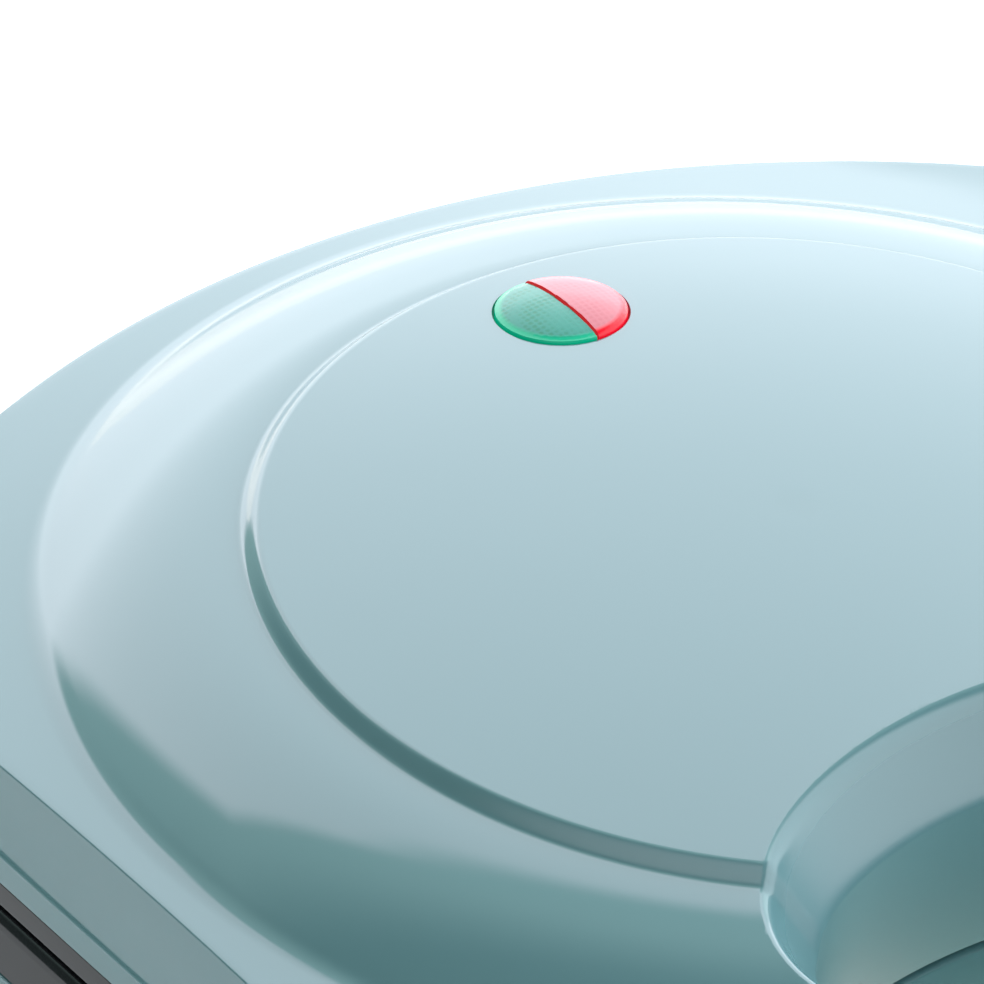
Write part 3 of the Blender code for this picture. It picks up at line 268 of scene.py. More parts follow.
def lensFinish(name, top, rim, dots, glow):
    # clear plastic: small cells under its top, a deep colour where its edge shows; the whole lens also has a painted
    # glow by emission, weak on its top and strongest at its edge and sides
    made = newMaterial(name, top, 0.05, ior=1.5)
    shader = made.node_tree.nodes["Principled BSDF"]
    place = addNode(made, "ShaderNodeTexCoord")
    cells = addNode(made, "ShaderNodeTexVoronoi", Scale=1050.0, Randomness=0.12)
    wire(made, place, "Object", cells, "Vector")
    tone = addNode(made, "ShaderNodeValToRGB")
    tone.color_ramp.elements[0].position, tone.color_ramp.elements[1].position = 0.22, 0.5
    tone.color_ramp.elements[0].color = (*[smoothMix(a, b * 0.6, dots) for a, b in zip(top, rim)], 1)
    tone.color_ramp.elements[1].color = (*top, 1)
    wire(made, cells, "Distance", tone, "Fac")
    far = addNode(made, "ShaderNodeVectorMath", operation="DISTANCE")
    far.inputs[1].default_value = lensPlace.translation
    wire(made, place, "Object", far, 0)
    edge = addNode(made, "ShaderNodeMapRange")
    for key, number in (("From Min", 8.3 * mm), ("From Max", 8.9 * mm)):
        edge.inputs[key].default_value = number
    wire(made, far, "Value", edge, "Value")
    face = addNode(made, "ShaderNodeNewGeometry")
    level = addNode(made, "ShaderNodeVectorMath", operation="DOT_PRODUCT")
    level.inputs[1].default_value = lensPlace.to_3x3() @ Vector((0, 0, 1))
    wire(made, face, "True Normal", level, 0)
    upright = addNode(made, "ShaderNodeMapRange")
    for key, number in (("From Min", 0.25), ("From Max", 0.5), ("To Min", 1.0), ("To Max", 0.0)):
        upright.inputs[key].default_value = number
    wire(made, level, "Value", upright, "Value")
    edge2 = addNode(made, "ShaderNodeMath", operation="MAXIMUM")
    wire(made, edge, "Result", edge2, 0)
    wire(made, upright, "Result", edge2, 1)
    both = addNode(made, "ShaderNodeMix", data_type="RGBA")
    wire(made, edge2, 0, both, 0)
    wire(made, tone, "Color", both, 6)
    both.inputs[7].default_value = (*rim, 1)
    wire(made, both, 2, shader, "Base Color")
    # painted glow: the lens emits its own colour, more at its edge and sloping sides
    wire(made, both, 2, shader, "Emission Color")
    paintedGlow = addNode(made, "ShaderNodeMapRange")
    paintedGlow.inputs["To Min"].default_value, paintedGlow.inputs["To Max"].default_value = glow
    wire(made, edge2, 0, paintedGlow, "Value")
    wire(made, paintedGlow, "Result", shader, "Emission Strength")
    dips = addNode(made, "ShaderNodeBump", Strength=0.25, Distance=0.0001)
    wire(made, cells, "Distance", dips, "Height")
    wire(made, dips, "Normal", shader, "Normal")
    return made


print("materials ready")


# outline of the lid and the base, seen from above

outlineShape = {"back": 110.3, "runs": [(170, 34.8, 0, 60), (38, 60.1, 0, 50), (0, 0, 105.8, 60),
                                        (34, 42.0, 0, 40), (0, 0, 6.0, 6), (None, None, 0, 80)]}


def outlineChain():
    place, heading, turned = Vector((0, outlineShape["back"])), 0.0, 0.0
    points = [(place.copy(), Vector((0, 1)))]
    for radius, turn, length, steps in outlineShape["runs"]:
        if radius is None:
            turn = 180 - turned
            radius = place.x / math.sin(math.radians(turn))
        turned += turn
        for k in range(steps):
            part = math.radians(turn) / steps
            chord = length / steps + 2 * radius * math.sin(part / 2)
            place = place + chord * Vector((math.cos(heading + part / 2), -math.sin(heading + part / 2)))
            heading += part
            points.append((place.copy(), Vector((math.sin(heading), math.cos(heading)))))
    return points


chain = outlineChain()
reachTables = {}


def reach(offset, angle):
    # distance from the middle to the outline, moved out by the offset in millimetres
    if offset not in reachTables:
        moved = [p + n * offset for p, n in chain]
        both = moved + [Vector((-p.x, p.y)) for p in moved[-2:0:-1]]
        angles = np.array([math.atan2(p.y, p.x) for p in both])
        order = np.argsort(angles)
        reachTables[offset] = (angles[order], np.array([p.length for p in both])[order])
    angles, radii = reachTables[offset]
    return float(np.interp(angle, angles, radii, period=math.tau))


# the lid's round top

lidShape = {"discRadius": 73, "discHeight": 34.5, "crown": 5.3, "stepDrop": 2.2, "stepWidth": 3.0,
            "creaseRadius": 103.5, "creaseHeight": 21.1, "domeStart": 0.25, "creaseRound": 1.7,
            "rimSlope": 8.0, "cornerSlope": 4.8, "rimWidth": 14.0, "edgeRound": 0.35, "wall": 2.5, "flare": 3.2, "hollow": 0.4,
            "lipProud": 0.6, "lipTop": 9.6, "lipBottom": 5.2, "count": 480}


def lidTop(r):
    s = lidShape
    start, fall = s["discRadius"] + s["stepWidth"], s["discHeight"] - s["stepDrop"] - s["creaseHeight"]
    out = r - s["creaseRadius"]
    rim = s["creaseHeight"] - math.tan(math.radians(s["rimSlope"])) * min(out, s["rimWidth"])
    rim -= math.tan(math.radians(s["cornerSlope"])) * max(0, out - s["rimWidth"])
    if r <= s["discRadius"]:
        return s["discHeight"] + s["crown"] * (1 - (r / s["discRadius"]) ** 2)
    if r <= start:
        t = (r - s["discRadius"]) / s["stepWidth"]
        return s["discHeight"] - s["stepDrop"] * t * t * (3 - 2 * t)
    if r > s["creaseRadius"]:
        z = rim
    else:
        t = (r - start) / (s["creaseRadius"] - start)
        z = s["discHeight"] - s["stepDrop"] - fall * (s["domeStart"] * t + (1 - s["domeStart"]) * t * t)
    near = s["creaseRound"] - abs(r - s["creaseRadius"])
    if near > 0:
        z += 0.573 / (4 * s["creaseRound"]) * near * near
    return z


def atRadius(radius, z):
    return lambda a: Vector((radius * mm * math.cos(a), middleY + radius * mm * math.sin(a), parting + z * mm))


def atOutline(offset, height):
    def place(a):
        r = reach(offset, a)
        z = height(a) if callable(height) else height
        return Vector((r * mm * math.cos(a), middleY + r * mm * math.sin(a), parting + z * mm))
    return place


def edgeHeight(a):
    return lidTop(reach(0, a))


def lidRings():
    s = lidShape
    rings = []
    radii = list(np.linspace(3, 70, 22)) + list(np.linspace(71, 76.6, 16)) + list(np.linspace(78, 99.4, 16))
    radii += list(np.linspace(100.6, 106, 19))
    rings += [atRadius(r, lidTop(r)) for r in radii]
    for t in (0.25, 0.5, 0.75, 0.93):     # out over the flat rim
        def across(a, t=t):
            r = smoothMix(106, reach(-s["edgeRound"], a), t)
            return Vector((r * mm * math.cos(a), middleY + r * mm * math.sin(a), parting + lidTop(r) * mm))
        rings.append(across)
    for k in range(6):                     # round edge
        turn = math.pi / 2 * k / 5
        out = s["edgeRound"] * (math.sin(turn) - 1)
        down = s["edgeRound"] * (1 - math.cos(turn))
        rings.append(atOutline(round(out, 4), lambda a, d=down: edgeHeight(a) - d))
    for t in (0.2, 0.4, 0.6, 0.8, 0.94):   # side, slightly hollow
        out = s["flare"] * t - s["hollow"] * 4 * t * (1 - t)
        rings.append(atOutline(round(out, 4), lambda a, t=t: smoothMix(edgeHeight(a) - s["edgeRound"], s["lipTop"] + 0.5, t)))
    rings.append(atOutline(s["flare"] + 0.05, s["lipTop"] + 0.25))
    full = s["flare"] + s["lipProud"]
    rings.append(atOutline(s["flare"] + 0.25, s["lipTop"] + 0.05))
    rings.append(atOutline(full - 0.3, s["lipTop"]))
    rings.append(atOutline(full - 0.08, s["lipTop"] - 0.1))
    rings.append(atOutline(full, s["lipTop"] - 0.35))
    rings.append(atOutline(full, s["lipBottom"] + 0.4))
    rings.append(atOutline(full - 0.12, s["lipBottom"] + 0.1))
    rings.append(atOutline(full - 0.4, s["lipBottom"]))
    rings.append(atOutline(full - s["wall"], s["lipBottom"]))
    rings.append(atOutline(full - s["wall"], s["lipTop"] - s["lipProud"]))
    rings.append(atOutline(-s["wall"], lambda a: edgeHeight(a) - s["wall"]))
    for r in (102.2, 96, 90, 84, 76.5, 72, 60, 40, 20, 4):
        rings.append(atRadius(r, lidTop(r) - s["wall"]))
    return rings


holeShape = {"centreY": -70.4, "halfWidth": 49.0, "halfDepth": 25.9, "inset": 7.8, "depth": 11.7,
             "round": 1.15, "count": 384, "wall": 2.5}


def holeRing(grow, height):
    h = holeShape

    def place(angle):
        wide, deep = h["halfWidth"] + grow, h["halfDepth"] + grow
        a = math.atan2(wide * math.sin(angle), deep * math.cos(angle))
        x, y = wide * math.cos(a), h["centreY"] + deep * math.sin(a)
        z = height(x, y, a) if callable(height) else height
        return Vector((x * mm, middleY + y * mm, parting + z * mm))
    return place


def mouthDrop(d):
    # how far the funnel lies under the lid's top, at a distance d outside the mouth's edge
    slope, w = holeShape["depth"] / holeShape["inset"], holeShape["round"]
    if d >= w:
        return 0
    return -d * slope if d <= -w else slope / (4 * w) * (w - d) ** 2


def holeRings(low):
    h = holeShape
    rings = [holeRing(-h["inset"], low), holeRing(-h["inset"], (low + 10) / 2)]

    def under(out, deeper=0.0):
        # follows the top as it is straight above the mouth's edge
        def z(x, y, a):
            ex, ey = (h["halfWidth"] + out) * math.cos(a), h["centreY"] + (h["halfDepth"] + out) * math.sin(a)
            return lidTop(math.hypot(ex, ey)) - deeper
        return z

    rings.append(holeRing(-h["inset"], under(0, h["depth"] + 1.0)))
    rings.append(holeRing(-h["inset"] + 0.05, under(0, h["depth"] + 0.45)))
    rings.append(holeRing(-h["inset"] + 0.22, under(0, h["depth"])))
    rings.append(holeRing(-h["inset"] + 0.5, under(0, mouthDrop(-h["inset"] + 0.5))))
    for d in np.linspace(-h["inset"] + 1.2, -h["round"] - 0.3, 7):
        rings.append(holeRing(float(d), under(0, mouthDrop(float(d)))))
    for share in (-1.0, -0.7, -0.4, -0.1, 0.2, 0.5, 0.72):
        d = share * h["round"]
        rings.append(holeRing(d, under(max(d, 0), mouthDrop(d))))
    rings.append(holeRing(h["round"] + 0.15, under(h["round"] + 0.15, -0.12)))
    rings.append(holeRing(h["round"] + 0.9, under(h["round"] + 0.9, -1.2)))
    rings.append(holeRing(h["round"] + 0.9, 48))
    return rings


def bossRings():
    h = holeShape

    def under(x, y, a):
        return lidTop(min(math.hypot(x, y), 103)) - 0.9
    inner = -h["inset"] - h["wall"]

    def throat(x, y, a):
        return lidTop(math.hypot(h["halfWidth"] * math.cos(a), h["centreY"] + h["halfDepth"] * math.sin(a))) - h["depth"]
    return [holeRing(h["wall"] - h["inset"], 0.8), holeRing(h["wall"] - h["inset"], throat), holeRing(h["wall"], under),
            holeRing(inner, under), holeRing(inner, 3.3)]


lensShape = {"radius": 9.5, "centreY": 58.4, "gap": 0.35, "proud": 0.3, "split": 0.3}
lensTilt = math.atan(2 * lidShape["crown"] * lensShape["centreY"] / lidShape["discRadius"] ** 2)
lensPlace = (Matrix.Translation((0, middleY + lensShape["centreY"] * mm, parting + lidTop(lensShape["centreY"]) * mm))
             @ Matrix.Rotation(-lensTilt, 4, "X"))


greenLens = lensFinish("greenLens", (0.03, 0.37, 0.28), (0.0, 0.46, 0.25), 0.75, (0.12, 0.4))
redLens = lensFinish("redLens", (0.74, 0.20, 0.24), (0.82, 0.004, 0.02), 0.12, (0.18, 0.5))


def makeLensHalf(name, node, side, lift, finish):
    # half of a shallow dome with a sloping edge and a flange behind the lid
    size = lensShape["radius"]
    profile = [(size + 1.8, -4.15), (size + 1.8, -3.0), (size, -3.0), (size, 0.1), (size - 0.06, 0.3), (size - 0.45, 0.68 + lift),
               (size - 0.7, 0.84 + lift), (size - 1.0, 0.95 + lift), (size - 2.5, 1.3 + lift), (size - 4.5, 1.62 + lift), (size - 6.5, 1.8 + lift),
               (1.5, 1.86 + lift)]
    half = turnedPiece(name, profile, lensPlace, 160)
    only(half)
    bpy.ops.object.mode_set(mode="EDIT")
    bpy.ops.mesh.select_all(action="SELECT")
    across = lensPlace.to_3x3() @ Vector((side, 0, 0))
    spot = lensPlace @ Vector((side * lensShape["split"] / 2 * mm, 0, 0))
    bpy.ops.mesh.bisect(plane_co=spot, plane_no=across, use_fill=True, clear_inner=True)
    bpy.ops.object.mode_set(mode="OBJECT")
    finishPiece(half, "lid", finish, [node], angle=40)


def satinInside(made):
    # the finger hole's walls are less polished than the outside
    shader = made.node_tree.nodes["Principled BSDF"]
    polish = shader.inputs["Roughness"].links[0].from_socket
    place = addNode(made, "ShaderNodeTexCoord")
    shift = addNode(made, "ShaderNodeVectorMath", operation="SUBTRACT")
    shift.inputs[1].default_value = (0, middleY + holeShape["centreY"] * mm, 0)
    wire(made, place, "Object", shift, 0)
    scale = addNode(made, "ShaderNodeVectorMath", operation="MULTIPLY")
    scale.inputs[1].default_value = (1 / (holeShape["halfWidth"] * mm), 1 / (holeShape["halfDepth"] * mm), 0)
    wire(made, shift, 0, scale, 0)
    far = addNode(made, "ShaderNodeVectorMath", operation="LENGTH")
    wire(made, scale, 0, far, 0)
    more = addNode(made, "ShaderNodeMapRange")
    for key, number in (("From Min", 0.93), ("From Max", 1.0), ("To Min", 0.24), ("To Max", 0.0)):
        more.inputs[key].default_value = number
    wire(made, far, "Value", more, "Value")
    total = addNode(made, "ShaderNodeMath", operation="ADD")
    made.node_tree.links.new(polish, total.inputs[0])
    wire(made, more, "Result", total, 1)
    wire(made, total, 0, shader, "Roughness")


satinInside(pastelGloss)


def makeLidShell():
    shell = stretchRings("lidShell", lidShape["count"], lidRings())
    holeCentre = (0, middleY + holeShape["centreY"] * mm)
    boss = stretchRings("lidBoss", holeShape["count"], bossRings(), holeCentre)
    applyBoolean(shell, boss, "UNION")
    applyBoolean(shell, stretchRings("lidHole", holeShape["count"], holeRings(-3), holeCentre), "DIFFERENCE")
    deselectAll()
    bpy.ops.mesh.primitive_cylinder_add(vertices=128, radius=(lensShape["radius"] + lensShape["gap"]) * mm, depth=12 * mm)
    drill = bpy.context.object
    drill.matrix_world = lensPlace
    applyBoolean(shell, drill, "DIFFERENCE")
    only(shell)
    bpy.ops.object.mode_set(mode="EDIT")
    bpy.ops.mesh.select_all(action="SELECT")
    bpy.ops.mesh.remove_doubles(threshold=0.05 * mm)
    bpy.ops.mesh.dissolve_degenerate(threshold=0.02 * mm)
    bpy.ops.mesh.select_all(action="DESELECT")
    bpy.ops.mesh.select_non_manifold()
    print("lid shell open edges", len([v for v in selectedVerts(shell)]))
    bpy.ops.object.mode_set(mode="OBJECT")
    finishPiece(shell, "lid", pastelGloss, ["lid_shell"])
    keepFlats(shell)


makeLidShell()
makeLensHalf("greenLensHalf", "green_lens", -1, -0.3, greenLens)
makeLensHalf("redLensHalf", "red_lens", 1, 0.0, redLens)
print("lid shell and lens ready")


# hinge ears and latch lugs, all moulded with the shells

hingeShape = {"y": 119.6, "knuckle": 4.6, "turn": 48, "lidWidth": 8.0, "baseWidth": 3.4, "centreX": 21.5, "gap": 0.3,
              "bore": 2.12, "soft": 0.45}


def earPiece(name, left, width, side, near, far):
    h = hingeShape
    edge = 110.3 - 170 + math.sqrt(170 ** 2 - (left + width / 2) ** 2)
    points = [(y, -side * z) for y, z in arcPoints(h["y"], 0, h["knuckle"], 180, -h["turn"], 36)]
    points += [(edge + far[0], side * far[1]), (edge + near[0], side * near[1]), (h["y"] - h["knuckle"], side * near[1])]
    ear = soften(extrudedPiece(name, points, width, fromLeft(left)), h["soft"], 3, 35)
    bore = turnedPiece("bore", [(h["bore"], -2), (h["bore"], width + 2)], fromLeft(left) @ Matrix.Translation((h["y"] * mm, 0, 0)), 48)
    applyBoolean(ear, bore, "DIFFERENCE")
    return ear


def makeEars():
    h = hingeShape
    half = h["lidWidth"] / 2
    for side in (-1, 1):
        word = "Left" if side < 0 else "Right"
        lidEar = earPiece("lidEar" + word, side * h["centreX"] - half, h["lidWidth"], 1, (2.55, 5.5), (1.75, 11.5))
        finishPiece(lidEar, "lid", pastelGloss)
        for k, start in enumerate((-half - h["gap"] - h["baseWidth"], half + h["gap"])):
            ear = earPiece(f"baseEar{word}{k}", side * h["centreX"] + start, h["baseWidth"], -1, (2.55, 10.6), (-0.4, 20.0))
            finishPiece(ear, "base", pastelGloss)


latchShape = {"y": -129.59, "z": 9.3, "lug": 4.0, "lugWidth": 4.0, "width": 22.0, "gap": 0.3, "bore": 1.6, "front": -121.19,
              "barrel": 3.6, "sheet": 3.0, "reach": 26.5, "hook": 1.8}


def makeLugs():
    s = latchShape
    inner = s["width"] / 2 + s["gap"]
    points = [(s["front"] - 1.5, s["z"] - s["lug"]), (s["front"] - 1.5, s["z"] + s["lug"])]
    points += arcPoints(s["y"], s["z"], s["lug"], 90, 270, 30)
    for k, left in enumerate((-inner - s["lugWidth"], inner)):
        lug = soften(extrudedPiece(f"latchLug{k}", points, s["lugWidth"], fromLeft(left)), 0.45, 3, 35)
        place = fromLeft(left) @ Matrix.Translation((s["y"] * mm, s["z"] * mm, 0))
        applyBoolean(lug, turnedPiece("bore", [(s["bore"], -2), (s["bore"], s["lugWidth"] + 2)], place, 48), "DIFFERENCE")
        finishPiece(lug, "lid", pastelGloss)


def makeClip():
    # hangs from its pin, with a lip to lift it by and a hook that holds the base
    s = latchShape
    back, front = s["y"] + s["sheet"] / 2, s["y"] - s["sheet"] / 2
    bottom = s["z"] - s["reach"]
    half = math.degrees(math.asin(s["sheet"] / 2 / s["barrel"]))
    points = arcPoints(s["y"], s["z"], s["barrel"], half - 90, 270 - half, 44)
    points += [(front + 0.25, smoothMix(s["z"], bottom, 0.5)), (front, bottom + 4.5), (front, bottom + 1.6)]
    points += arcPoints(front + 1.5, bottom + 1.5, 1.5, 180, 270, 6)
    points += [(back + s["hook"] - 0.6, bottom), (back + s["hook"], bottom + 0.7), (back + s["hook"], bottom + 3.0), (back, bottom + 3.0)]
    clip = soften(extrudedPiece("latchClip", points, s["width"], fromLeft(-s["width"] / 2)), 0.5, 3, 30)
    for k in range(5):                     # grip grooves across its foot
        groove = roundedBox(0.7, 0.9, 0.3, 0, 4)
        place = fromLeft(-s["width"] / 2 + 2.5) @ Matrix.Translation((front * mm, (bottom + 3.2 + 1.7 * k) * mm, 0))
        applyBoolean(clip, extrudedPiece("groove", groove, s["width"] - 5, place), "DIFFERENCE")
    place = fromLeft(-s["width"] / 2) @ Matrix.Translation((s["y"] * mm, s["z"] * mm, 0))
    applyBoolean(clip, turnedPiece("bore", [(s["bore"], -2), (s["bore"], s["width"] + 2)], place, 48), "DIFFERENCE")
    finishPiece(clip, "latch", blackGloss, ["latch_clip"])


makeEars()
makeLugs()
makeClip()
print("hinge ears, lugs and clip ready")


# base shell

baseShape = {"rim": -10.3, "shoulder": -15.7, "floor": -45.0, "wall": 2.5, "lip": 3.8,
             "side": [(-15.0, -45.0), (-13.0, -44.75), (-11.0, -44.1), (-9.5, -43.25), (-8.3, -42.1), (-7.2, -40.4),
                      (-6.3, -38.2), (-5.5, -35.4), (-4.7, -32.6), (-3.9, -30.0), (-2.7, -27.4), (-1.3, -24.7),
                      (0.3, -21.8), (1.7, -19.2), (2.8, -17.1), (3.4, -15.5), (3.65, -14.2), (3.78, -12.6), (3.8, -11.2)],
             "feet": [(-70, 72), (70, 72), (-70, -60), (70, -60)], "screws": [(-48, 62), (48, 62), (-48, -28), (48, -28)]}


def baseRings():
    b = baseShape
    rings = [atOutline(offset, z) for offset, z in b["side"]]
    rings += [atOutline(3.75, -10.65), atOutline(3.6, -10.4), atOutline(3.3, b["rim"])]
    inner = b["lip"] - b["wall"]
    rings += [atOutline(inner, b["rim"]), atOutline(inner, b["shoulder"]), atOutline(-6.5, -30), atOutline(-15.0, -42.5)]
    return rings


def makeBaseShell():
    b = baseShape
    shell = stretchRings("baseShell", lidShape["count"], baseRings())
    holeCentre = (0, middleY + holeShape["centreY"] * mm)
    wall = holeShape["wall"] - holeShape["inset"]
    boss = [holeRing(wall, -43.6), holeRing(wall, -1.1), holeRing(wall - 0.3, -0.8)]
    applyBoolean(shell, stretchRings("baseBoss", holeShape["count"], boss, holeCentre), "UNION")
    hole = [holeRing(-6.0, -47), holeRing(-6.0, -45.2)]
    hole += [holeRing(-7.8 + 1.4 * (1 - math.sin(math.radians(t))), -45 + 1.4 * (1 - math.cos(math.radians(t)))) for t in (25, 45, 65, 90)]
    hole += [holeRing(-7.8, -1.3), holeRing(-7.65, -0.95), holeRing(-7.4, -0.8), holeRing(-7.4, 2)]
    applyBoolean(shell, stretchRings("baseHole", holeShape["count"], hole, holeCentre), "DIFFERENCE")
    behind = Matrix.Translation((0, middleY + 113.27 * mm, parting - 27 * mm)) @ Matrix.Rotation(-math.pi / 2, 4, "X")
    applyBoolean(shell, turnedPiece("pad", [(9.5, -11), (9.5, -0.5), (9.35, -0.15), (9.0, 0)], behind, 96), "UNION")
    applyBoolean(shell, turnedPiece("inletBore", [(5.8, -19), (5.8, 3)], behind, 64), "DIFFERENCE")
    for i in range(7):
        slot = roundedBox(26, 3, 1.45, 0, 6)
        place = Matrix.Translation((0, middleY + (17 + 9 * (i - 3)) * mm, parting - 47 * mm))
        applyBoolean(shell, extrudedPiece("vent", slot, 6, place), "DIFFERENCE")
    for x, y in b["feet"]:
        place = Matrix.Translation((x * mm, middleY + y * mm, parting))
        applyBoolean(shell, turnedPiece("socket", [(2.9, -48), (2.9, -41)], place, 40), "DIFFERENCE")
    for x, y in b["screws"]:
        place = Matrix.Translation((x * mm, middleY + y * mm, parting))
        applyBoolean(shell, turnedPiece("screwWell", [(3.7, -46), (3.7, -43.2)], place, 48), "DIFFERENCE")
    top = latchShape["z"] - latchShape["reach"] + 4.0
    slot = [(-130, top - 5.6), (-130, top), (-118.69, top), (-118.69, top - 5.6)]
    applyBoolean(shell, extrudedPiece("latchSlot", slot, 24, fromLeft(-12)), "DIFFERENCE")
    finishPiece(shell, "base", pastelGloss, ["base_shell"])


def makeScrews():
    # pan heads with a cross slot, sunk into wells under the base
    profile = [(0.4, -44.75), (1.6, -44.7), (2.4, -44.5), (2.85, -44.15), (3.0, -43.75), (3.0, -43.3), (0.4, -43.3)]
    first = turnedPiece("baseScrew", profile, Matrix.Translation((0, middleY, parting)), 48)
    for wide, deep in ((3.6, 0.8), (0.8, 3.6)):
        slot = roundedBox(wide, deep, 0.15, 0, 3)
        applyBoolean(first, extrudedPiece("crossSlot", slot, 1.2, Matrix.Translation((0, middleY, parting - 45.3 * mm))), "DIFFERENCE")
    for k, (x, y) in enumerate(baseShape["screws"]):
        screw = first.copy()
        screw.data = first.data.copy()
        bpy.context.scene.collection.objects.link(screw)
        screw.name = "baseScrew%d" % (k + 1)
        screw.location = (x * mm, y * mm, 0)
        finishPiece(screw, "base", plainSteel)
    bpy.data.objects.remove(first)


def makeFeet():
    names = ["foot_back_left", "foot_back_right", "foot_front_left", "foot_front_right"]
    profile = [(0.6, 0.9), (3.6, 0.9), (4.2, 0.7), (4.6, 0.1), (5.0, 0), (6.6, 0), (7.2, 0.2), (7.7, 0.7), (8, 1.3), (8, 4.3),
               (7.8, 4.6), (7.4, 4.7), (2.6, 4.7), (2.6, 8.6), (2.3, 9.0), (0.6, 9.0)]
    for node, (x, y) in zip(names, baseShape["feet"]):
        foot = turnedPiece("rubber" + node.title().replace("_", ""), profile, Matrix.Translation((x * mm, middleY + y * mm, 0)), 72)
        finishPiece(foot, "base", footRubber, [node])


def makeInletBush():
    # a rubber sleeve with a round flange and rings round its nose
    place = Matrix.Translation((0, middleY + 113.27 * mm, parting - 27 * mm)) @ Matrix.Rotation(-math.pi / 2, 4, "X")
    profile = [(3.6, -14), (5.2, -14), (5.5, -13.7), (5.5, 0.3), (7.7, 0.3), (8.0, 0.6), (8.0, 1.9), (7.7, 2.2), (6.6, 2.5), (6.3, 3.0),
               (6.2, 3.3), (5.9, 3.4), (5.8, 3.9), (5.5, 4.2), (5.3, 4.6), (4.9, 4.7), (3.9, 4.7), (3.6, 4.4), (3.6, -14)]
    bush = turnedPiece("inletBush", profile, place, 96, joinEnds=True)
    finishPiece(bush, "base", footRubber, ["cord_inlet_bush"])


makeBaseShell()
makeScrews()
makeFeet()
makeInletBush()
print("base ready")


# black inner frames and the plates in them

plateShape = {"width": 196, "depth": 122, "corner": 22, "sheet": 3.0, "gap": 0.4, "y": 17.0, "pocket": 9.0, "wall": 2.2,
              "margin": 7.0, "draft": 3.2, "ridge": 6.0, "corners": (6.0, 13.0, 6.0), "seat": 9.5}


def flatPrism(name, points, low, high):
    return extrudedPiece(name, points, high - low, Matrix.Translation((0, middleY, parting + low * mm)))


def makeFrame(name, node, side, band, rounding, body):
    def level(depth):
        return side * (0.8 + depth)

    rings = []
    for k in range(9):
        turn = math.pi / 2 * k / 8
        rings.append(atOutline(round(3.5 + rounding * (math.sin(turn) - 1), 4), level(rounding * (1 - math.cos(turn)))))
    rings += [atOutline(3.5, level(band)), atOutline(1.0, level(band)), atOutline(1.0, level(band + 3.1)), atOutline(0.7, level(band + 3.4))]
    rings += [atOutline(-1.5, level(band + 3.4)), atOutline(-1.5, level(3.1)), atOutline(-2.1, level(2.5))]
    piece = stretchRings(name, lidShape["count"], rings)
    p = plateShape
    low, high = sorted((level(1.25), level(11)))
    applyBoolean(piece, flatPrism("well", roundedBox(p["width"] + 5, p["depth"] + 5, p["corner"] + 2.5, p["y"], 18), low, high), "UNION")
    low, high = sorted((level(-3), level(p["gap"] + p["sheet"] + 0.3 - 0.8)))
    applyBoolean(piece, flatPrism("rebate", roundedBox(p["width"] + 0.6, p["depth"] + 0.6, p["corner"] + 0.3, p["y"], 18), low, high), "DIFFERENCE")
    low, high = sorted((level(-3), level(14)))
    applyBoolean(piece, flatPrism("through", roundedBox(p["width"] - 6, p["depth"] - 6, p["corner"] - 3, p["y"], 18), low, high), "DIFFERENCE")
    holeCentre = (0, middleY + holeShape["centreY"] * mm)
    room = stretchRings("room", 192, [holeRing(-5.0, low), holeRing(-5.0, high)], holeCentre)
    applyBoolean(piece, room, "DIFFERENCE")
    finishPiece(piece, body, blackGloss, [node])


def roundedCorners(corners, inset, radii, steps=14):
    # an outline moved in by the inset, its corners rounded
    corners = [Vector(c) for c in corners]
    lines = []
    for i, a in enumerate(corners):
        along = (corners[(i + 1) % len(corners)] - a).normalized()
        inward = Vector((-along.y, along.x))
        lines.append((a + inward * inset, along))
    points = []
    for i in range(len(corners)):
        (a, u), (b, w) = lines[i - 1], lines[i]
        across = u.x * w.y - u.y * w.x
        corner = a + u * (((b - a).x * w.y - (b - a).y * w.x) / across)
        turn = math.atan2(across, u.dot(w))
        back = radii[i] * math.tan(turn / 2)
        start = corner - u * back
        centre = start + Vector((-u.y, u.x)) * radii[i]
        first = math.atan2(start.y - centre.y, start.x - centre.x)
        points += [(centre.x + radii[i] * math.cos(first + turn * k / steps), centre.y + radii[i] * math.sin(first + turn * k / steps))
                   for k in range(steps + 1)]
    return points


def pocketCorners():
    p = plateShape
    x0, x1 = p["ridge"] / 2, p["width"] / 2 - p["margin"]
    y0, y1 = p["y"] - p["depth"] / 2 + p["margin"], p["y"] + p["depth"] / 2 - p["margin"]
    for side in (-1, 1):
        for corners in ([(x0, y0), (x1, y0), (x1, y1)], [(x1, y1), (x0, y1), (x0, y0)]):
            placed = [(side * x, y) for x, y in corners]
            yield placed if side > 0 else placed[::-1]


def pocketBlock(name, corners, grow, top, bottom, draft):
    p = plateShape
    radii = [radius + grow for radius in p["corners"]]
    upper = roundedCorners(corners, p["ridge"] / 4 - grow, radii)
    lower = roundedCorners(corners, p["ridge"] / 4 - grow + draft, radii)
    block = flatPrism(name, upper, 0, 1)
    only(block)
    bpy.ops.object.mode_set(mode="EDIT")
    bpy.ops.mesh.select_mode(type="VERT")
    bpy.ops.mesh.select_all(action="SELECT")
    count = len(upper)
    for v in selectedVerts(block):
        outline, z = (upper, top) if v.index < count else (lower, bottom)
        x, y = outline[v.index % count]
        v.co = Vector((x * mm, middleY + y * mm, parting + z * mm))
    bpy.ops.mesh.normals_make_consistent(inside=False)
    bpy.ops.object.mode_set(mode="OBJECT")
    return block


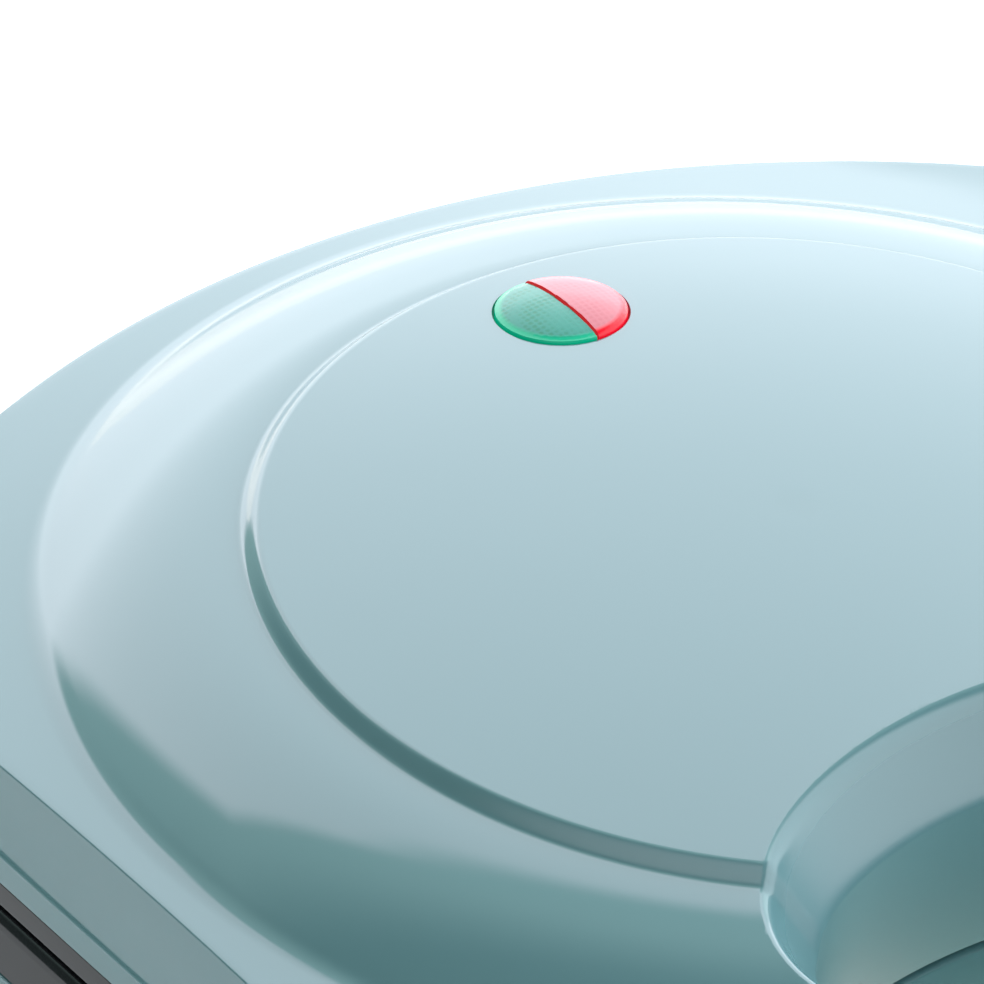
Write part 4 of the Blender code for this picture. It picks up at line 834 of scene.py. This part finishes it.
def makePlate(name, node, side, body):
    p = plateShape

    def level(depth):
        return side * (p["gap"] + depth)

    low, high = sorted((level(0), level(p["sheet"])))
    plate = flatPrism(name, roundedBox(p["width"], p["depth"], p["corner"], p["y"], 20), low, high)
    back = level(p["pocket"] + p["wall"])
    for corners in pocketCorners():
        applyBoolean(plate, pocketBlock("boss", corners, p["wall"], level(1.5), back, p["draft"]), "UNION")
    seat = turnedPiece("seat", [(p["seat"], min(level(1.5), back)), (p["seat"], max(level(1.5), back))],
                       Matrix.Translation((0, middleY + p["y"] * mm, parting)), 72)
    applyBoolean(plate, seat, "UNION")
    for corners in pocketCorners():
        steeper = p["draft"] * (p["pocket"] + 3) / p["pocket"]
        block = pocketBlock("pocket", corners, steeper - p["draft"], level(-3), level(p["pocket"]), steeper)
        applyBoolean(plate, block, "DIFFERENCE")
    soften(plate, 0.8, 3, 28)
    finishPiece(plate, body, nonStick, [node])


makeFrame("lidFrame", "lid_inner_frame", 1, 4.1, 0.9, "lid")
makeFrame("baseFrame", "base_inner_frame", -1, 9.2, 2.2, "base")
makePlate("upperPlate", "upper_cooking_plate", 1, "lid")
makePlate("lowerPlate", "lower_cooking_plate", -1, "base")
print("frames and plates ready")

# carried-over pieces take their finishes here
nodeFinishes = {
    "upper_heating_element": plainSteel, "lower_heating_element": plainSteel,
    "upper_heat_reflector": brightSheet, "lower_heat_reflector": brightSheet,
    "hinge_pin_left": plainSteel, "hinge_pin_right": plainSteel, "latch_pin": plainSteel,
    "terminal_block": creamCeramic, "thermostat": creamCeramic, "thermal_fuse": creamCeramic,
    "lamp_holder": creamCeramic, "ready_lamp": lampGlass, "power_lamp": lampGlass,
    "base_lead_live": redSleeve, "base_lead_neutral": blueSleeve,
}
for node, finish in nodeFinishes.items():
    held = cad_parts[node]
    held.data.materials.clear()
    held.data.materials.append(finish)
print("node finishes set")


# floor, light and camera

def makeFloor():
    deselectAll()
    bpy.ops.mesh.primitive_plane_add(size=8, location=(0, 0, 0))
    floor = bpy.context.object
    floor.name = "floor"
    paint = newMaterial("floorPaint", (0.93, 0.93, 0.93), 0.9, ior=1.2)
    tree = paint.node_tree
    shader, out = tree.nodes["Principled BSDF"], tree.nodes["Material Output"]
    ray = addNode(paint, "ShaderNodeLightPath")
    seen = addNode(paint, "ShaderNodeMath", operation="ADD", use_clamp=True)
    seen2 = addNode(paint, "ShaderNodeMath", operation="ADD", use_clamp=True)
    wire(paint, ray, "Is Camera Ray", seen, 0)
    wire(paint, ray, "Is Glossy Ray", seen, 1)
    wire(paint, seen, 0, seen2, 0)
    wire(paint, ray, "Is Transmission Ray", seen2, 1)
    glow = addNode(paint, "ShaderNodeEmission")
    glow.inputs["Color"].default_value = (1.0, 0.95, 0.95, 1)
    place = addNode(paint, "ShaderNodeTexCoord")
    far = addNode(paint, "ShaderNodeVectorMath", operation="LENGTH")
    wire(paint, place, "Object", far, 0)
    rise = addNode(paint, "ShaderNodeMapRange")
    for key, number in (("From Min", 0.15), ("From Max", 0.8), ("To Min", 0.5), ("To Max", 1.85)):
        rise.inputs[key].default_value = number
    wire(paint, far, "Value", rise, "Value")
    split = addNode(paint, "ShaderNodeSeparateXYZ")
    wire(paint, place, "Object", split, 0)
    behind = addNode(paint, "ShaderNodeMapRange")
    for key, number in (("From Min", -0.15), ("From Max", 0.15), ("To Min", 0.0), ("To Max", 1.0)):
        behind.inputs[key].default_value = number
    wire(paint, split, "Y", behind, "Value")
    strength = addNode(paint, "ShaderNodeMath", operation="MULTIPLY")
    wire(paint, rise, "Result", strength, 0)
    wire(paint, behind, "Result", strength, 1)
    slant = addNode(paint, "ShaderNodeVectorMath", operation="DOT_PRODUCT")
    slant.inputs[1].default_value = (1.0, 0.5, 0.0)
    wire(paint, place, "Object", slant, 0)
    clear = addNode(paint, "ShaderNodeMapRange")                        # in reflections the floor on the left has no glow
    for key, number in (("From Min", -0.11), ("From Max", 0.04), ("To Min", 0.0), ("To Max", 1.0)):
        clear.inputs[key].default_value = number
    wire(paint, slant, "Value", clear, "Value")
    frontPart = addNode(paint, "ShaderNodeMath", operation="SUBTRACT")       # and in reflections the floor in front is darker, a painted shade
    frontPart.inputs[0].default_value = 1.0
    wire(paint, behind, "Result", frontPart, 1)
    reflectedShade = addNode(paint, "ShaderNodeMath", operation="MULTIPLY")
    wire(paint, frontPart, 0, reflectedShade, 0)
    wire(paint, ray, "Is Glossy Ray", reflectedShade, 1)
    plain = addNode(paint, "ShaderNodeMath", operation="SUBTRACT")
    plain.inputs[0].default_value = 1.0
    wire(paint, clear, "Result", plain, 1)
    lost = addNode(paint, "ShaderNodeMath", operation="MULTIPLY")
    wire(paint, plain, 0, lost, 0)
    wire(paint, ray, "Is Glossy Ray", lost, 1)
    kept = addNode(paint, "ShaderNodeMath", operation="SUBTRACT")
    kept.inputs[0].default_value = 1.0
    wire(paint, lost, 0, kept, 1)
    strength2 = addNode(paint, "ShaderNodeMath", operation="MULTIPLY")
    wire(paint, strength, 0, strength2, 0)
    wire(paint, kept, 0, strength2, 1)
    strength3 = addNode(paint, "ShaderNodeMath", operation="MULTIPLY_ADD")
    wire(paint, lost, 0, strength3, 0)
    strength3.inputs[1].default_value = 0.32
    wire(paint, strength2, 0, strength3, 2)
    # painted shade: in reflections the floor in front takes colour 0.4 instead of 0.93
    tone = addNode(paint, "ShaderNodeMapRange")
    tone.inputs["To Min"].default_value, tone.inputs["To Max"].default_value = 0.93, 0.4
    wire(paint, reflectedShade, 0, tone, "Value")
    wire(paint, tone, "Result", shader, "Base Color")
    wire(paint, strength3, 0, glow, "Strength")
    under = addNode(paint, "ShaderNodeVectorMath", operation="DISTANCE")
    under.inputs[1].default_value = (0, middleY + holeShape["centreY"] * mm, 0)
    wire(paint, place, "Object", under, 0)
    lamp = addNode(paint, "ShaderNodeMapRange")
    for key, number in (("From Min", 0.03), ("From Max", 0.06), ("To Min", 3.2), ("To Max", 0.0)):
        lamp.inputs[key].default_value = number
    wire(paint, under, "Value", lamp, "Value")
    soft = addNode(paint, "ShaderNodeMapRange")
    soft.inputs["To Min"].default_value, soft.inputs["To Max"].default_value = 0.45, 1.0
    wire(paint, ray, "Is Diffuse Ray", soft, "Value")
    lampPower = addNode(paint, "ShaderNodeMath", operation="MULTIPLY")
    wire(paint, lamp, "Result", lampPower, 0)
    wire(paint, soft, "Result", lampPower, 1)
    lift = addNode(paint, "ShaderNodeEmission")                         # light from below fills the finger hole
    lift.inputs["Color"].default_value = (1.0, 0.93, 0.82, 1)
    unseen = addNode(paint, "ShaderNodeMath", operation="SUBTRACT")
    unseen.inputs[0].default_value = 1.0
    wire(paint, ray, "Is Camera Ray", unseen, 1)
    lampLeft = addNode(paint, "ShaderNodeMath", operation="MULTIPLY")
    wire(paint, lampPower, 0, lampLeft, 0)
    wire(paint, unseen, 0, lampLeft, 1)
    wire(paint, lampLeft, 0, lift, "Strength")
    fill = addNode(paint, "ShaderNodeAddShader")
    both = addNode(paint, "ShaderNodeAddShader")
    mixer = addNode(paint, "ShaderNodeMixShader")
    wire(paint, shader, 0, both, 0)
    wire(paint, glow, 0, both, 1)
    wire(paint, seen2, 0, mixer, 0)
    wire(paint, shader, 0, mixer, 1)
    wire(paint, both, 0, mixer, 2)
    wire(paint, mixer, 0, fill, 0)
    wire(paint, lift, 0, fill, 1)
    wire(paint, fill, 0, out, "Surface")
    floor.data.materials.append(paint)


# a big soft window stands behind the object and a weaker one on its right; the big one's left edges are two planes
# through the object, given by what points to their lit side, and its strength goes by the sine of the height
studio = {"edges": [(0.952, 0.071, 0.296), (0.612, 0.711, -0.346), (-0.259, 0.966, 0.0)], "edgeSoftness": 0.035,
          "top": (0.845, 0.905), "around": (0.30, 0.42, 0.40), "tint": (0.97, 1.0, 1.08), "rightAim": (0.927, -0.375), "right": (1.35, 2.4),
          "frontAim": (-0.55, -0.6, 0.58), "front": (0.75, 0.25),
          "window": [(0.0, 2.55), (0.17, 2.9), (0.3, 3.25), (0.38, 2.78), (0.46, 2.52), (0.54, 2.34), (0.61, 2.25),
                     (0.676, 2.14), (0.737, 2.03), (0.79, 1.93), (0.843, 1.8)]}


def makeWorld():
    world = bpy.data.worlds.new("studio")
    world.use_nodes = True
    bpy.context.scene.world = world
    tree = world.node_tree
    back, out = tree.nodes["Background"], tree.nodes["World Output"]

    def math2(kind, a, b, clamp=False):
        node = tree.nodes.new("ShaderNodeMath")
        node.operation, node.use_clamp = kind, clamp
        for k, v in enumerate((a, b)):
            if isinstance(v, (int, float)):
                node.inputs[k].default_value = v
            else:
                tree.links.new(v, node.inputs[k])
        return node.outputs[0]

    def ease(value, low, high, start=0.0, end=1.0):
        node = tree.nodes.new("ShaderNodeMapRange")
        node.interpolation_type = "SMOOTHSTEP"
        for key, number in (("From Min", low), ("From Max", high), ("To Min", start), ("To Max", end)):
            node.inputs[key].default_value = number
        tree.links.new(value, node.inputs["Value"])
        return node.outputs["Result"]

    place = tree.nodes.new("ShaderNodeTexCoord")
    split = tree.nodes.new("ShaderNodeSeparateXYZ")
    tree.links.new(place.outputs["Generated"], split.inputs[0])
    x, y, z = split.outputs
    inside = None
    for a, b, c in studio["edges"]:
        far = math2("ADD", math2("ADD", math2("MULTIPLY", x, a), math2("MULTIPLY", y, b)), math2("MULTIPLY", z, c))
        inside = far if inside is None else math2("MINIMUM", inside, far)
    lit = math2("MULTIPLY", ease(inside, -studio["edgeSoftness"], studio["edgeSoftness"]), ease(z, *studio["top"], 1.0, 0.0))
    ramp = tree.nodes.new("ShaderNodeValToRGB")
    steps = ramp.color_ramp.elements
    for k, (level, power) in enumerate(studio["window"]):
        step = steps[k] if k < 1 else (steps[-1] if k == len(studio["window"]) - 1 else steps.new(level))
        step.position, step.color = level, (power / 4, power / 4, power / 4, 1)
    tree.links.new(z, ramp.inputs[0])
    aim = math2("ADD", math2("MULTIPLY", x, studio["rightAim"][0]), math2("MULTIPLY", y, studio["rightAim"][1]))
    ray = tree.nodes.new("ShaderNodeLightPath")
    power = ease(ray.outputs["Is Diffuse Ray"], 0, 1, *studio["right"])
    right = math2("MULTIPLY", math2("MULTIPLY", ease(aim, 0.45, 0.75), ease(z, 0.6, 0.8, 1.0, 0.0)), power)
    ahead = None
    for part, share in zip((x, y, z), studio["frontAim"]):
        ahead = math2("MULTIPLY", part, share) if ahead is None else math2("ADD", ahead, math2("MULTIPLY", part, share))
    near = math2("MULTIPLY", ease(ahead, 0.6, 1.0), ease(ray.outputs["Is Diffuse Ray"], 0, 1, *studio["front"]))
    both = math2("MAXIMUM", math2("MULTIPLY", math2("MULTIPLY", lit, ramp.outputs[0]), 4.0), math2("MAXIMUM", right, near))
    window = tree.nodes.new("ShaderNodeBackground")
    window.inputs["Color"].default_value = (*studio["tint"], 1)
    tree.links.new(both, window.inputs["Strength"])
    back.inputs["Color"].default_value = (*studio["around"], 1)
    outside = math2("SUBTRACT", 1.0, lit)
    tree.links.new(math2("MULTIPLY", ease(inside, -0.36, -0.03, 0.45, 2.0), outside), back.inputs["Strength"])
    sum2 = tree.nodes.new("ShaderNodeAddShader")
    tree.links.new(back.outputs[0], sum2.inputs[0])
    tree.links.new(window.outputs[0], sum2.inputs[1])
    white = tree.nodes.new("ShaderNodeBackground")
    final = tree.nodes.new("ShaderNodeMixShader")
    tree.links.new(ray.outputs["Is Camera Ray"], final.inputs[0])
    tree.links.new(sum2.outputs[0], final.inputs[1])
    tree.links.new(white.outputs[0], final.inputs[2])
    white.inputs["Color"].default_value = (1, 1, 1, 1)
    tree.links.new(final.outputs[0], out.inputs["Surface"])


photoCamera = {"place": (-0.556411, -0.722303, 0.651972), "turn": (54.494288, -3.249861, -32.683913), "lens": 299.16}


def makeCamera():
    data = bpy.data.cameras.new("photoCamera")
    data.lens, data.sensor_width = photoCamera["lens"], 36
    data.clip_start, data.clip_end = 0.05, 50
    camera = bpy.data.objects.new("photoCamera", data)
    bpy.context.scene.collection.objects.link(camera)
    camera.location = Vector(photoCamera["place"]) + Vector((0, middleY, parting + lidShape["discHeight"] * mm))
    camera.rotation_euler = [math.radians(t) for t in photoCamera["turn"]]
    bpy.context.scene.camera = camera


makeFloor()
makeWorld()
makeCamera()
bpy.context.scene.view_settings.view_transform = "Standard"
